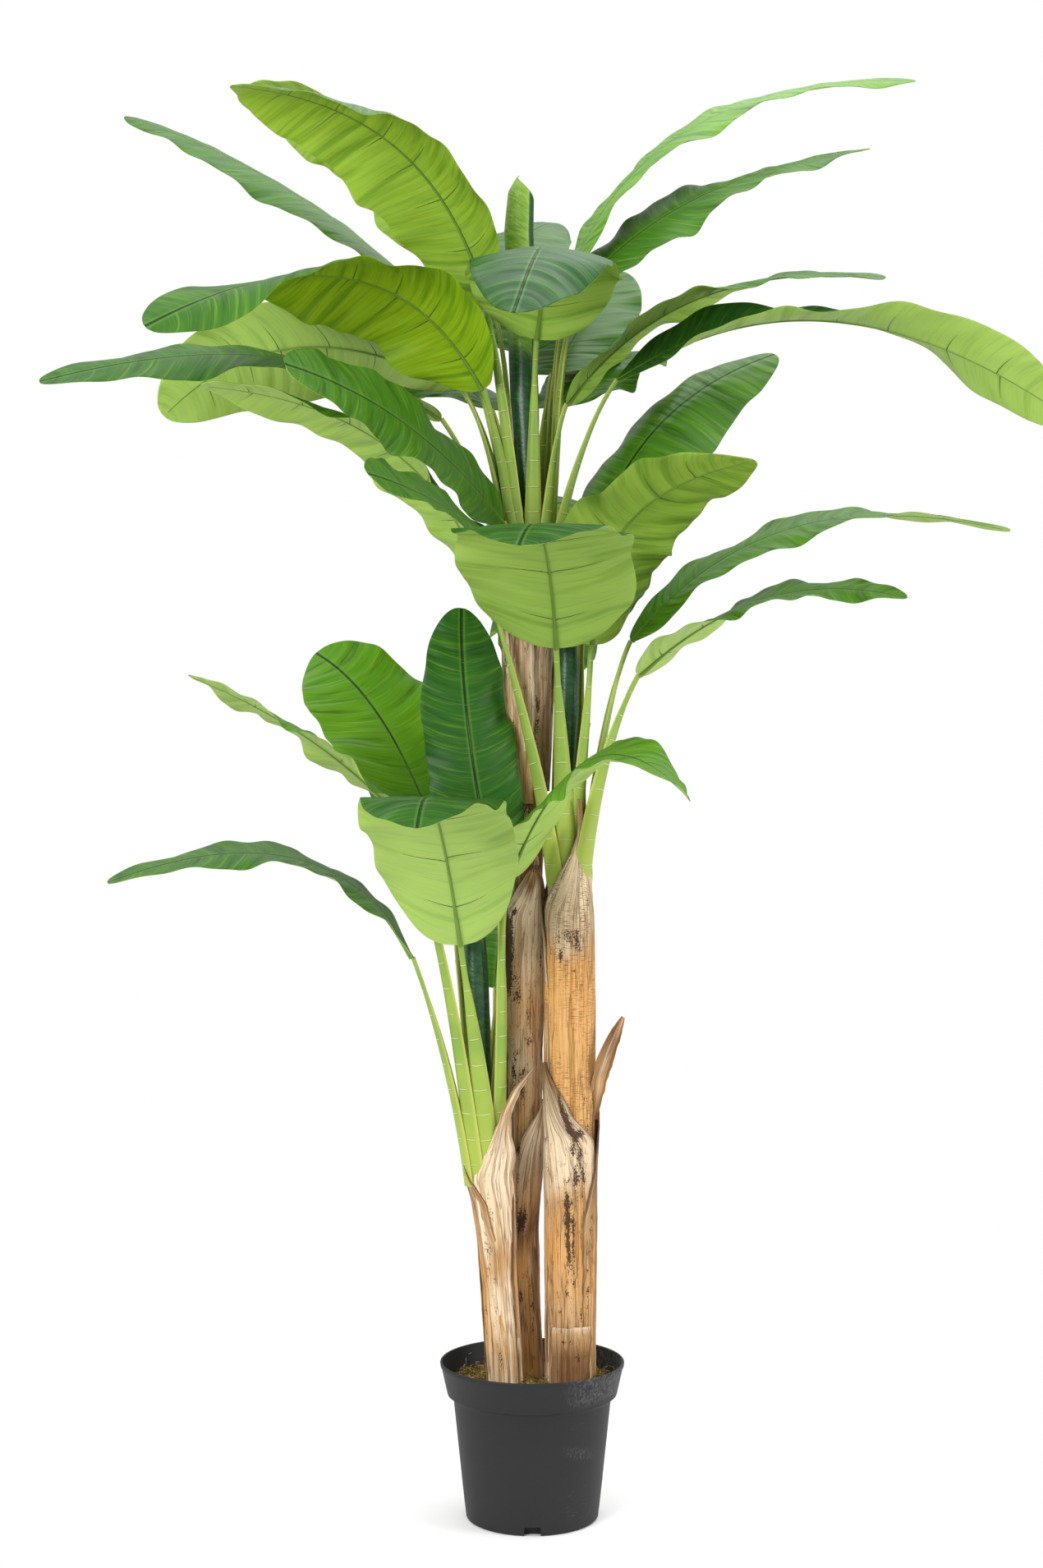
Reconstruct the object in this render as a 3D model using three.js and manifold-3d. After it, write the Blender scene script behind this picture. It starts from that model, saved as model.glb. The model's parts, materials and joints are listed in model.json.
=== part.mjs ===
// A potted artificial banana plant: three bark-covered stems of different heights stand in a
// plastic nursery pot, and each carries a crown of long-stalked leaves round one rolled leaf.
// Millimetres, +Z up, origin at the centre of the pot's underside, viewer on the -Y side.
import * as THREE from 'three';
import { mergeVertices } from 'three/addons/utils/BufferGeometryUtils.js';
import Module from 'manifold-3d';

const wasm = await Module();
wasm.setup();

// Pot and its fill
const RIM_RADIUS = 150;
const POT_HEIGHT = 253;
const BAND_HEIGHT = 54;
const BAND_FOOT_RADIUS = 138;
const BODY_TOP_RADIUS = 129;
const BASE_RADIUS = 108;
const WALL = 4;
const FLOOR = 12;
const FOOT_ROUNDING = 5;
const NOTCH_WIDTH = 26;
const NOTCH_HEIGHT = 9;
const NOTCH_DEPTH = 14;
const NOTCH_COUNT = 4;
const FILL_TOP = 216;
const POT_SEGMENTS = 48;

// Gap left between two pieces that touch on the real plant
const CLEARANCE = 0.4;

// Leaf make-up
const SECTION_SIDES = 8;
const STALK_STATIONS = [0, 0.1, 0.24, 0.4, 0.56, 0.78];
const BLADE_STATIONS = [0, 0.025, 0.08, 0.16, 0.27, 0.39, 0.51, 0.63, 0.75, 0.86, 0.95];
const STALK_WIDTH = 11;
const STALK_THICKNESS = 10;
const SHEATH_THICKNESS = 6.5;
const SHEATH_SHARE = 0.56;
const BLADE_THICKNESS_SHARE = 0.0105;
const WAVES_PER_BLADE = 2.2;
const WAVE_PHASE_STEP = 1.3;

// Shares of the way from root to neck: how far a stalk leaves the crown straight up, how far it
// spreads on that stretch, and how far ahead of the neck it already points along the blade
const STALK_UPRIGHT = 0.4;
const STALK_SPREAD = 0.05;
const STALK_ENTRY = 0.22;

// Shares of a blade's length: the end of the round lobe at the neck and the start of the taper,
// with the powers that shape the taper and the tip
const LOBE_END = 0.3;
const TAPER_START = 0.4;
const TAPER_POWER = 2.6;
const TIP_POWER = 0.6;

// Step along a curve, as a share of it, from which its direction is taken
const CURVE_STEP = 0.01;

// Rings that the leaf sheaths stand on, from the inside of a crown outwards
const RINGS = [
  { radius: 20, sheath: 19 },
  { radius: 28, sheath: 22 },
  { radius: 36, sheath: 24 },
  { radius: 44, sheath: 26 },
];

// Crown centres, at the top of each stem
const UPPER_CROWN = new THREE.Vector3(0, 20, 1492);
const MIDDLE_CROWN = new THREE.Vector3(56, -10, 1042);
const LOWER_CROWN = new THREE.Vector3(-70, -30, 560);

// Stems as [height, x, y, radius] from the flat cut in the pot to the top, and the low ribs that
// wind round them: depth as a share of the radius, number round the stem, and height per radian
const STEM_SIDES = 16;
const STEM_RIBS = [
  { depth: 0.03, count: 3, climb: 90 },
  { depth: 0.02, count: 5, climb: -60 },
];
const STEMS = {
  stem_upper: [
    [FILL_TOP, -5, 35, 29], [330, -10, 35, 29], [455, -15, 35, 30], [600, -12, 35, 29],
    [740, -9, 35, 29], [860, -13, 36, 32], [1000, -12, 36, 33], [1130, -11, 36, 34],
    [1260, -9, 35, 36], [1380, -7, 31, 38], [1450, -4, 25, 40], [1490, 0, 20, 37],
  ],
  stem_middle: [
    [FILL_TOP, 61, -12, 39], [300, 62, -12, 41], [400, 62, -12, 38], [520, 62, -12, 39],
    [640, 62, -12, 40], [760, 62, -12, 40], [880, 61, -12, 40], [980, 60, -11, 40],
    [1020, 58, -10, 38], [1040, 56, -10, 35],
  ],
  stem_lower: [
    [FILL_TOP, -44, -32, 27], [290, -47, -32, 26], [380, -54, -31, 26], [450, -58, -30, 30],
    [520, -63, -30, 34], [558, -70, -30, 33],
  ],
};

// Dry outer sheaths: three points from root to tip, the direction each faces, and its width
const DRY_SHEATH_STATIONS = [0, 0.15, 0.35, 0.55, 0.75, 0.9];
const DRY_SHEATH_THICKNESS = 5;
const DRY_SHEATH_CURL = -0.45;
const SHEATHS = {
  sheath_lower_front: { points: [[-52, -66, 395], [-42, -72, 560], [8, -62, 738]], facing: 282, width: 56 },
  sheath_upper_front: { points: [[-8, -4, 560], [2, -5, 640], [14, -16, 700]], facing: 270, width: 34 },
  sheath_middle_front: { points: [[60, -58, 380], [54, -60, 580], [16, -50, 738]], facing: 262, width: 58 },
  sheath_middle_side: { points: [[103, -24, 655], [112, -30, 730], [146, -34, 815]], facing: 330, width: 30 },
  sheath_middle_top: { points: [[82, -57, 1000], [77, -53, 1080], [74, -47, 1168]], facing: 280, width: 36 },
  sheath_upper_top: { points: [[-40, 2, 1400], [-42, -8, 1450], [-52, -16, 1498]], facing: 225, width: 40 },
};

// Leaves: ring and turn of the sheath, heading of the blade, then the blade's neck, middle and
// tip as [reach, height, sideways] from the crown. Roll (at neck, middle and tip) lifts the left
// edge, as seen from the crown; arch bends both halves down, and wave ripples the edges.
const UPPER_LEAVES = [
  { ring: 0, turn: 215, heading: 215, neck: [102, 511, 0], middle: [270, 707, 0], tip: [551, 748, 0],
    width: 195, roll: [26, 25, -8], arch: 30, wave: 9 },
  { ring: 0, turn: 155, heading: 170, neck: [66, 486, 0], middle: [262, 748, 0], tip: [500, 849, 0],
    width: 200, roll: [33, 33, 18], arch: 14, wave: 9 },
  { ring: 1, turn: 150, heading: 152, neck: [140, 458, 0], middle: [450, 715, 0], tip: [828, 908, 0],
    width: 170, roll: [10, -2, -12], arch: 15, wave: 8 },
  { ring: 1, turn: 200, heading: 205, neck: [88, 340, 0], middle: [316, 500, 0], tip: [650, 395, 0],
    width: 215, roll: [18, 20, -58], arch: 14, wave: 10 },
  { ring: 2, turn: 168, heading: 165, neck: [123, 355, 0], middle: [412, 437, 0], tip: [652, 330, 0],
    width: 195, roll: [-5, 45, 62], arch: 10, wave: 8 },
  { ring: 3, turn: 188, heading: 188, neck: [150, 295, 0], middle: [426, 391, 0], tip: [792, 340, 0],
    width: 165, roll: [4, -20, -35], arch: 8, wave: 8 },
  { ring: 2, turn: 229, heading: 224, neck: [64, 124, 0], middle: [273, 260, 0], tip: [512, 323, 0],
    width: 165, roll: [-58, -56, -58], arch: 1, wave: 8 },
  { ring: 3, turn: 270, heading: 245, neck: [48, 66, 0], middle: [322, 122, 0], tip: [556, 140, 0],
    width: 125, roll: [-36, -40, -49], arch: -5, wave: 6 },
  { ring: 0, turn: 275, heading: 270, neck: [45, 420, 7], middle: [210, 530, 16], tip: [430, 384, -29],
    width: 240, roll: [0, 0, 0], arch: 14, wave: 9 },
  { ring: 0, turn: 35, heading: 32, neck: [68, 528, 0], middle: [330, 830, 0], tip: [827, 989, 0],
    width: 155, roll: [-18, 3, 22], arch: 6, wave: 8 },
  { ring: 1, turn: 8, heading: 14, neck: [80, 511, 0], middle: [286, 680, 0], tip: [591, 780, 0],
    width: 180, roll: [28, 20, 10], arch: 4, wave: 9 },
  { ring: 1, turn: 68, heading: 70, neck: [100, 388, 0], middle: [250, 499, 0], tip: [450, 634, 0],
    width: 190, roll: [0, 0, 0], arch: 12, wave: 8 },
  { ring: 1, turn: 318, heading: 354, neck: [57, 322, 0], middle: [271, 492, 0], tip: [573, 517, 0],
    width: 180, roll: [-4, 4, 25], arch: 3, wave: 8 },
  { ring: 2, turn: 338, heading: 342, neck: [145, 355, 0], middle: [495, 430, 0], tip: [869, 248, 0],
    width: 175, roll: [28, 8, -72], arch: -12, wave: 8 },
  { ring: 0, turn: 95, heading: 97, neck: [70, 423, 0], middle: [230, 613, 0], tip: [500, 745, -100],
    width: 190, roll: [0, 0, 0], arch: 14, wave: 8 },
  { ring: 2, turn: 127, heading: 125, neck: [120, 330, 0], middle: [340, 430, 0], tip: [560, 400, 0],
    width: 190, roll: [0, 0, 0], arch: 14, wave: 9 },
  { ring: 2, turn: 36, heading: 57, neck: [90, 330, 0], middle: [220, 430, 0], tip: [420, 470, 0],
    width: 190, roll: [0, 0, 0], arch: 14, wave: 9 },
  { ring: 2, turn: 85, heading: 88, neck: [100, 170, 0], middle: [300, 190, 0], tip: [520, 60, 0],
    width: 190, roll: [0, 0, 0], arch: 14, wave: 9 },
];
const MIDDLE_LEAVES = [
  { ring: 2, turn: 212, heading: 190, neck: [120, 440, 0], middle: [285, 688, 0], tip: [590, 780, 0],
    width: 190, roll: [5, 7, 5], arch: 14, wave: 9 },
  { ring: 1, turn: 264, heading: 264, neck: [70, 367, -11], middle: [290, 523, -12], tip: [470, 490, -28],
    width: 268, roll: [0, 0, 0], arch: 4, wave: 6 },
  { ring: 0, turn: 50, heading: 39, neck: [36, 430, 0], middle: [164, 716, 0], tip: [478, 905, 0],
    width: 190, roll: [24, 28, 30], arch: 34, wave: 9 },
  { ring: 0, turn: 310, heading: 322, neck: [50, 374, 0], middle: [122, 566, 0], tip: [358, 645, 0],
    width: 210, roll: [-8, -18, -11], arch: 0, wave: 9 },
  { ring: 2, turn: 5, heading: -8, neck: [105, 382, 0], middle: [366, 562, 0], tip: [707, 551, 0],
    width: 170, roll: [20, 18, -6], arch: 2, wave: 8 },
  { ring: 3, turn: 325, heading: 340, neck: [123, 325, 0], middle: [328, 443, 0], tip: [554, 437, 0],
    width: 160, roll: [-12, 15, 14], arch: 0, wave: 8 },
  { ring: 2, turn: 58, heading: 66, neck: [60, 390, 0], middle: [180, 540, 0], tip: [400, 570, 0],
    width: 180, roll: [0, 0, 0], arch: 14, wave: 9 },
  { ring: 2, turn: 102, heading: 99, neck: [110, 330, 0], middle: [240, 440, 0], tip: [430, 440, 0],
    width: 180, roll: [0, 0, 0], arch: 14, wave: 9 },
];
const LOWER_LEAVES = [
  { ring: 1, turn: 262, heading: 264, neck: [80, 377, -36], middle: [280, 594, -48], tip: [470, 570, -46],
    width: 225, roll: [0, 0, 0], arch: 4, wave: 9 },
  { ring: 2, turn: 212, heading: 202, neck: [162, 592, 0], middle: [311, 711, 0], tip: [494, 799, 0],
    width: 170, roll: [-3, -3, -2], arch: 5, wave: 8 },
  { ring: 1, turn: 140, heading: 140, neck: [99, 516, 0], middle: [233, 735, 0], tip: [395, 858, 0],
    width: 220, roll: [-6, -22, -45], arch: 0, wave: 8 },
  { ring: 0, turn: 60, heading: 104, neck: [-8, 450, -13], middle: [-8, 710, 34], tip: [60, 920, 32],
    width: 150, roll: [0, 0, 0], arch: 8, wave: 8 },
  { ring: 0, turn: 325, heading: 305, neck: [55, 480, 0], middle: [268, 668, 0], tip: [509, 613, 0],
    width: 170, roll: [7, 29, -45], arch: 8, wave: 9 },
  { ring: 3, turn: 182, heading: 190, neck: [124, 353, 0], middle: [312, 514, 0], tip: [607, 477, 0],
    width: 150, roll: [-8, -10, -16], arch: 2, wave: 7 },
  { ring: 3, turn: 72, heading: 86, neck: [140, 290, 0], middle: [280, 400, 0], tip: [450, 380, 0],
    width: 150, roll: [0, 0, 0], arch: 14, wave: 8 },
  { ring: 2, turn: 104, heading: 106, neck: [64, 420, 0], middle: [200, 560, 0], tip: [420, 640, 0],
    width: 170, roll: [0, 0, 0], arch: 14, wave: 8 },
];

// Rolled leaves as [height, radius, sideways lean] above their crown
const ROLLED_SIDES = 10;
const ROLLED_LEAVES = {
  rolled_leaf_upper: [UPPER_CROWN, [[0, 6, 0], [90, 8, 0], [150, 12, -2], [230, 20, -7], [330, 24, -11],
    [480, 24, -15], [600, 24, -20], [650, 20, -16], [702, 6, -9]]],
  rolled_leaf_middle: [MIDDLE_CROWN, [[0, 6, 0], [110, 8, 0], [180, 15, 0], [260, 18, 2], [330, 18, 3],
    [400, 14, 3], [440, 5, 3]]],
  rolled_leaf_lower: [LOWER_CROWN, [[0, 6, 0], [100, 8, -4], [170, 15, -10], [250, 20, -17], [330, 20, -20],
    [410, 15, -20], [460, 5, -18]]],
};

const LEAF_GREEN = new THREE.MeshStandardMaterial({ color: 0x3f8f1f, roughness: 0.5, metalness: 0 });
const ROLL_GREEN = new THREE.MeshStandardMaterial({ color: 0x14491f, roughness: 0.4, metalness: 0 });
const BARK = new THREE.MeshStandardMaterial({ color: 0xb98f5c, roughness: 0.9, metalness: 0 });
const DRY_SHEATH = new THREE.MeshStandardMaterial({ color: 0xa98664, roughness: 0.9, metalness: 0 });
const POT_PLASTIC = new THREE.MeshStandardMaterial({ color: 0x2b2d2f, roughness: 0.6, metalness: 0 });
const FILL_STONE = new THREE.MeshStandardMaterial({ color: 0x3d3420, roughness: 1, metalness: 0 });

const radians = THREE.MathUtils.degToRad;
const UP = new THREE.Vector3(0, 0, 1);

// Closed skin over a row of rings with the same number of points: the first ring is capped flat,
// and the last is a single point or is capped flat too
function loft(rings, apex) {
  const sides = rings[0].length;
  const positions = rings.flat().flatMap((point) => point.toArray());
  const faces = [];
  for (let row = 0; row + 1 < rings.length; row += 1) {
    for (let side = 0; side < sides; side += 1) {
      const here = row * sides + side;
      const next = row * sides + ((side + 1) % sides);
      faces.push(here, next, next + sides, here, next + sides, here + sides);
    }
  }
  const last = (rings.length - 1) * sides;
  for (let side = 1; side + 1 < sides; side += 1) faces.push(0, side + 1, side);
  if (apex) {
    const point = positions.length / 3;
    positions.push(...apex.toArray());
    for (let side = 0; side < sides; side += 1) faces.push(last + side, last + ((side + 1) % sides), point);
  } else {
    for (let side = 1; side + 1 < sides; side += 1) faces.push(last, last + side, last + side + 1);
  }
  const geometry = new THREE.BufferGeometry();
  geometry.setAttribute('position', new THREE.Float32BufferAttribute(positions, 3));
  geometry.setIndex(faces);
  return geometry;
}

// Point at share t of the parabola that passes through a, b at half way, and c
function parabola(a, b, c, t) {
  const control = b.clone().multiplyScalar(2).addScaledVector(a, -0.5).addScaledVector(c, -0.5);
  return a.clone().multiplyScalar((1 - t) ** 2)
    .addScaledVector(control, 2 * t * (1 - t))
    .addScaledVector(c, t * t);
}

// Value at share t of the parabola through three numbers
function blend([a, b, c], t) {
  return a * (1 - t) * (1 - 2 * t) + 4 * b * t * (1 - t) + c * t * (2 * t - 1);
}

// Half-width share of a blade: a round lobe at the neck, widest before the middle, blunt tip
function bladeOutline(t) {
  const lobe = t < LOBE_END ? Math.sqrt(1 - (1 - t / LOBE_END) ** 2) : 1;
  const past = Math.max(0, (t - TAPER_START) / (1 - TAPER_START));
  const taper = (1 - past ** TAPER_POWER) ** TIP_POWER;
  return lobe * taper;
}

// One ring of a leaf: a flat oval, arched and rippled, square to the leaf's run
function leafSection(centre, run, facing, roll, half, thickness, arch, ripple) {
  const left = new THREE.Vector3(-Math.sin(facing), Math.cos(facing), 0);
  left.addScaledVector(run, -left.dot(run)).normalize();
  const top = run.clone().cross(left);
  const across = left.clone().multiplyScalar(Math.cos(roll)).addScaledVector(top, Math.sin(roll));
  const out = run.clone().cross(across);
  return Array.from({ length: SECTION_SIDES }, (_, index) => {
    const angle = (index / SECTION_SIDES) * 2 * Math.PI;
    const share = Math.cos(angle);
    const lift = ripple(share) - half * Math.sin(arch) * share * share;
    return centre.clone()
      .addScaledVector(across, half * share * Math.cos(arch))
      .addScaledVector(out, lift + (thickness / 2) * Math.sin(angle));
  });
}

function leafGeometry(crown, leaf, phase) {
  const ring = RINGS[leaf.ring];
  const turn = radians(leaf.turn);
  const heading = radians(leaf.heading);
  const ahead = new THREE.Vector3(Math.cos(heading), Math.sin(heading), 0);
  const left = new THREE.Vector3(-Math.sin(heading), Math.cos(heading), 0);
  const place = ([reach, height, sideways]) => crown.clone()
    .addScaledVector(ahead, reach).addScaledVector(left, sideways).addScaledVector(UP, height);
  const [neck, middle, tip] = [leaf.neck, leaf.middle, leaf.tip].map(place);
  const root = crown.clone().add(new THREE.Vector3(
    ring.radius * Math.cos(turn), ring.radius * Math.sin(turn), CLEARANCE));

  const bladeAt = (t) => parabola(neck, middle, tip, t);
  const bladeRun = (t) => bladeAt(t + CURVE_STEP).sub(bladeAt(t - CURVE_STEP)).normalize();
  const rise = neck.distanceTo(root);
  const outward = new THREE.Vector3(Math.cos(turn), Math.sin(turn), 0);
  const entry = bladeRun(CURVE_STEP).addScaledVector(neck.clone().sub(root), 1 / rise).normalize();
  const stalk = new THREE.CubicBezierCurve3(
    root,
    root.clone().addScaledVector(UP, rise * STALK_UPRIGHT).addScaledVector(outward, rise * STALK_SPREAD),
    neck.clone().addScaledVector(entry, -rise * STALK_ENTRY),
    neck);

  const rings = STALK_STATIONS.map((s) => {
    const wide = Math.max(0, 1 - s / SHEATH_SHARE);
    const width = STALK_WIDTH + (ring.sheath - STALK_WIDTH) * wide;
    const thickness = STALK_THICKNESS + (SHEATH_THICKNESS - STALK_THICKNESS) * wide;
    const swing = s * s * (3 - 2 * s);
    const facing = turn + (heading - turn) * swing;
    return leafSection(stalk.getPoint(s), stalk.getTangent(s), facing,
      radians(leaf.roll[0]) * swing, width / 2, thickness, 0, () => 0);
  });
  const bladeLength = neck.distanceTo(middle) + middle.distanceTo(tip);
  for (const t of BLADE_STATIONS) {
    const share = bladeOutline(t);
    const half = STALK_WIDTH / 2 + (leaf.width / 2 - STALK_WIDTH / 2) * share;
    const ripple = (across) => leaf.wave * share * across * across
      * Math.sin(2 * Math.PI * WAVES_PER_BLADE * t + phase + across);
    rings.push(leafSection(bladeAt(t), bladeRun(t), heading, radians(blend(leaf.roll, t)), half,
      bladeLength * BLADE_THICKNESS_SHARE, radians(leaf.arch) * share, ripple));
  }
  return loft(rings, tip);
}

// A stem: slightly ribbed, flat at both ends, its radius widened by the given margin
function stemGeometry(stations, margin) {
  return loft(stations.map(([height, x, y, radius], row) => (
    Array.from({ length: STEM_SIDES }, (_, side) => {
      const angle = (side / STEM_SIDES) * 2 * Math.PI;
      const ribs = STEM_RIBS.reduce(
        (sum, { depth, count, climb }) => sum + depth * Math.sin(count * angle + height / climb), 1);
      const gap = row === 0 ? CLEARANCE - margin : 0;
      const reach = radius * ribs + margin;
      return new THREE.Vector3(x + reach * Math.cos(angle), y + reach * Math.sin(angle), height + gap);
    })
  )));
}

// A dry sheath: a curled strip that narrows from its root to a point
function sheathGeometry({ points, facing, width }) {
  const [root, middle, tip] = points.map((point) => new THREE.Vector3(...point));
  const at = (t) => parabola(root, middle, tip, t);
  const rings = DRY_SHEATH_STATIONS.map((t) => {
    const run = at(t + CURVE_STEP).sub(at(t - CURVE_STEP)).normalize();
    const half = (width / 2) * Math.sqrt(1 - t);
    return leafSection(
      at(t), run, radians(facing), Math.PI, half, DRY_SHEATH_THICKNESS, DRY_SHEATH_CURL, () => 0);
  });
  return loft(rings, tip);
}

function rolledGeometry([crown, stations]) {
  const rings = stations.map(([height, radius, lean]) => (
    Array.from({ length: ROLLED_SIDES }, (_, side) => {
      const angle = (side / ROLLED_SIDES) * 2 * Math.PI;
      return crown.clone().add(new THREE.Vector3(
        lean + radius * Math.cos(angle), radius * Math.sin(angle), height + CLEARANCE));
    })
  ));
  return loft(rings);
}

function toSolid(geometry) {
  const bare = geometry.clone();
  bare.deleteAttribute('normal');
  bare.deleteAttribute('uv');
  const merged = mergeVertices(bare, 1e-4);
  return new wasm.Manifold(new wasm.Mesh({
    numProp: 3,
    vertProperties: new Float32Array(merged.attributes.position.array),
    triVerts: new Uint32Array(merged.index.array),
  }));
}

function toGeometry(solid) {
  const mesh = solid.getMesh();
  const geometry = new THREE.BufferGeometry();
  geometry.setAttribute('position', new THREE.BufferAttribute(mesh.vertProperties, 3));
  geometry.setIndex(new THREE.BufferAttribute(mesh.triVerts, 1));
  return geometry;
}

// Inside of the pot's wall, from the floor up to the given height, set in by the given gap
function wallInside(top, gap) {
  const step = POT_HEIGHT - BAND_HEIGHT;
  const ledge = step + WALL;
  const slope = (BODY_TOP_RADIUS - BASE_RADIUS) / step;
  const bandSlope = (RIM_RADIUS - BAND_FOOT_RADIUS) / (POT_HEIGHT - ledge);
  return [
    [BASE_RADIUS + slope * FLOOR - WALL - gap, FLOOR + gap],
    [BODY_TOP_RADIUS - WALL - gap, step + gap],
    [BAND_FOOT_RADIUS - WALL - gap, ledge + gap],
    [BAND_FOOT_RADIUS + bandSlope * (top - ledge) - WALL - gap, top],
  ];
}

function lathe(outline) {
  const profile = outline.map(([radius, height]) => new THREE.Vector2(radius, height));
  return new THREE.LatheGeometry(profile, POT_SEGMENTS).rotateX(Math.PI / 2);
}

function potGeometry() {
  const step = POT_HEIGHT - BAND_HEIGHT;
  const shell = toSolid(lathe([
    [0, 0], [BASE_RADIUS - FOOT_ROUNDING, 0], [BASE_RADIUS - 1, FOOT_ROUNDING * 0.4],
    [BASE_RADIUS, FOOT_ROUNDING], [BODY_TOP_RADIUS, step], [BAND_FOOT_RADIUS, step + 1],
    [RIM_RADIUS - 1, POT_HEIGHT - 4], [RIM_RADIUS, POT_HEIGHT - 1], [RIM_RADIUS - 1, POT_HEIGHT],
    ...wallInside(POT_HEIGHT, 0).reverse(), [0, FLOOR],
  ]));
  let pot = shell;
  for (let index = 0; index < NOTCH_COUNT; index += 1) {
    const notch = new THREE.BoxGeometry(2 * NOTCH_DEPTH, NOTCH_WIDTH, 2 * NOTCH_HEIGHT);
    notch.translate(BASE_RADIUS, 0, 0).rotateZ((index / NOTCH_COUNT) * 2 * Math.PI);
    pot = pot.subtract(toSolid(notch));
  }
  return toGeometry(pot);
}

function fillGeometry() {
  return lathe([[0, FLOOR + CLEARANCE], ...wallInside(FILL_TOP, CLEARANCE), [0, FILL_TOP]]);
}

const group = new THREE.Group();

function addPiece(name, geometry, material) {
  const piece = new THREE.Mesh(geometry, material.clone());
  piece.name = name;
  group.add(piece);
}

addPiece('pot', potGeometry(), POT_PLASTIC);
addPiece('fill', fillGeometry(), FILL_STONE);
for (const [name, stations] of Object.entries(STEMS)) {
  addPiece(name, stemGeometry(stations, 0), BARK);
}
for (const [name, sheath] of Object.entries(SHEATHS)) {
  const trimmed = Object.values(STEMS).reduce(
    (solid, stations) => solid.subtract(toSolid(stemGeometry(stations, CLEARANCE))),
    toSolid(sheathGeometry(sheath)));
  const parts = trimmed.decompose().sort((a, b) => b.volume() - a.volume());
  addPiece(name, toGeometry(parts[0]), DRY_SHEATH);
}
for (const [name, rolled] of Object.entries(ROLLED_LEAVES)) {
  addPiece(name, rolledGeometry(rolled), ROLL_GREEN);
}
const crowns = [
  ['upper', UPPER_CROWN, UPPER_LEAVES],
  ['middle', MIDDLE_CROWN, MIDDLE_LEAVES],
  ['lower', LOWER_CROWN, LOWER_LEAVES],
];
for (const [label, crown, leaves] of crowns) {
  leaves.forEach((leaf, index) => {
    const name = `leaf_${label}_${String(index + 1).padStart(2, '0')}`;
    addPiece(name, leafGeometry(crown, leaf, index * WAVE_PHASE_STEP), LEAF_GREEN);
  });
}

export default group;
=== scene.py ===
import json

import bpy
import numpy as np
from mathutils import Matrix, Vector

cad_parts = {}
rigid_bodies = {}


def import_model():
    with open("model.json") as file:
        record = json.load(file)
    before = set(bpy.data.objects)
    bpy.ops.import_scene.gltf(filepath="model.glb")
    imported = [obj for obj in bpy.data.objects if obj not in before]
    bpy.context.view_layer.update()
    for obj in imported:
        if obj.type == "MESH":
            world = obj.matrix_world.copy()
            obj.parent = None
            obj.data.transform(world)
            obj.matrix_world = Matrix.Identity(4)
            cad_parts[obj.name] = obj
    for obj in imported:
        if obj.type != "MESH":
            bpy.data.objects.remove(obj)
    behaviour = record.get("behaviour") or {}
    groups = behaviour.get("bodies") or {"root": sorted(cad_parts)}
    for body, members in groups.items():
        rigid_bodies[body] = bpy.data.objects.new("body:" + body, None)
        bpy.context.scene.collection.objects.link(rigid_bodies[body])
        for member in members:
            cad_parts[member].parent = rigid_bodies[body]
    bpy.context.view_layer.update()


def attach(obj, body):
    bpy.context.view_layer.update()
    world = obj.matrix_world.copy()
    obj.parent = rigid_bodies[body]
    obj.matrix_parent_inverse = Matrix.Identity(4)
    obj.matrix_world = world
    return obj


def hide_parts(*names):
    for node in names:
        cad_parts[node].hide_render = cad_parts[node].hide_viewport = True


# An artificial banana plant: three stems wrapped in dry sheaths, printed fabric leaves on moulded
# stalks, in a black nursery pot. Sizes are millimetres, made metres as each mesh is built.
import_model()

# ---- Camera, light and floor ---------------------------------------------------------------------
# A level camera at chest height in a white studio whose light falls mostly from above, with lamps
# in front on the left and at the right, and a pale floor that fades into the wall.
camera = bpy.data.objects.new("camera", bpy.data.cameras.new("camera"))
camera.data.lens = 52.27
camera.location = (-0.0174, -3.712, 1.192)
camera.rotation_euler = (np.pi / 2, 0, 0)
bpy.context.scene.collection.objects.link(camera)
bpy.context.scene.camera = camera
bpy.context.scene.view_settings.view_transform = "Standard"


def softbox(name, place, aim, size, watts):
    """A square area light at place that faces the point aim."""
    lamp = bpy.data.objects.new(name, bpy.data.lights.new(name, "AREA"))
    lamp.data.size = size
    lamp.data.energy = watts
    lamp.location = place
    lamp.rotation_euler = (lamp.location - Vector(aim)).to_track_quat("Z", "Y").to_euler()
    bpy.context.scene.collection.objects.link(lamp)


softbox("light_overhead", (0.8, 0.9, 4.8), (0, 0, 1.4), 3.0, 55)
softbox("light_front", (-2.4, -3.4, 2.4), (0, 0, 1.2), 1.8, 120)
softbox("light_side", (3.4, -1.2, 1.8), (0, 0, 1.2), 1.4, 60)

world = bpy.data.worlds.new("studio")
world.use_nodes = True
studio = world.node_tree
wall_light = studio.nodes["Background"]
seen_light, ray, choice, way, split, height = (studio.nodes.new("ShaderNode" + kind) for kind in (
    "Background", "LightPath", "MixShader", "TexCoord", "SeparateXYZ", "MapRange"))
for background in (wall_light, seen_light):
    background.inputs["Color"].default_value = (1, 1, 1, 1)
for socket, value in (("From Min", -0.1), ("From Max", 0.9), ("To Min", 0.20), ("To Max", 1.35)):
    height.inputs[socket].default_value = value
for source, target in (
        (way.outputs["Generated"], split.inputs[0]), (split.outputs["Z"], height.inputs["Value"]),
        (height.outputs[0], wall_light.inputs["Strength"]), (ray.outputs["Is Camera Ray"], choice.inputs[0]),
        (wall_light.outputs[0], choice.inputs[1]), (seen_light.outputs[0], choice.inputs[2]),
        (choice.outputs[0], studio.nodes["World Output"].inputs["Surface"])):
    studio.links.new(source, target)
bpy.context.scene.world = world

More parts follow.
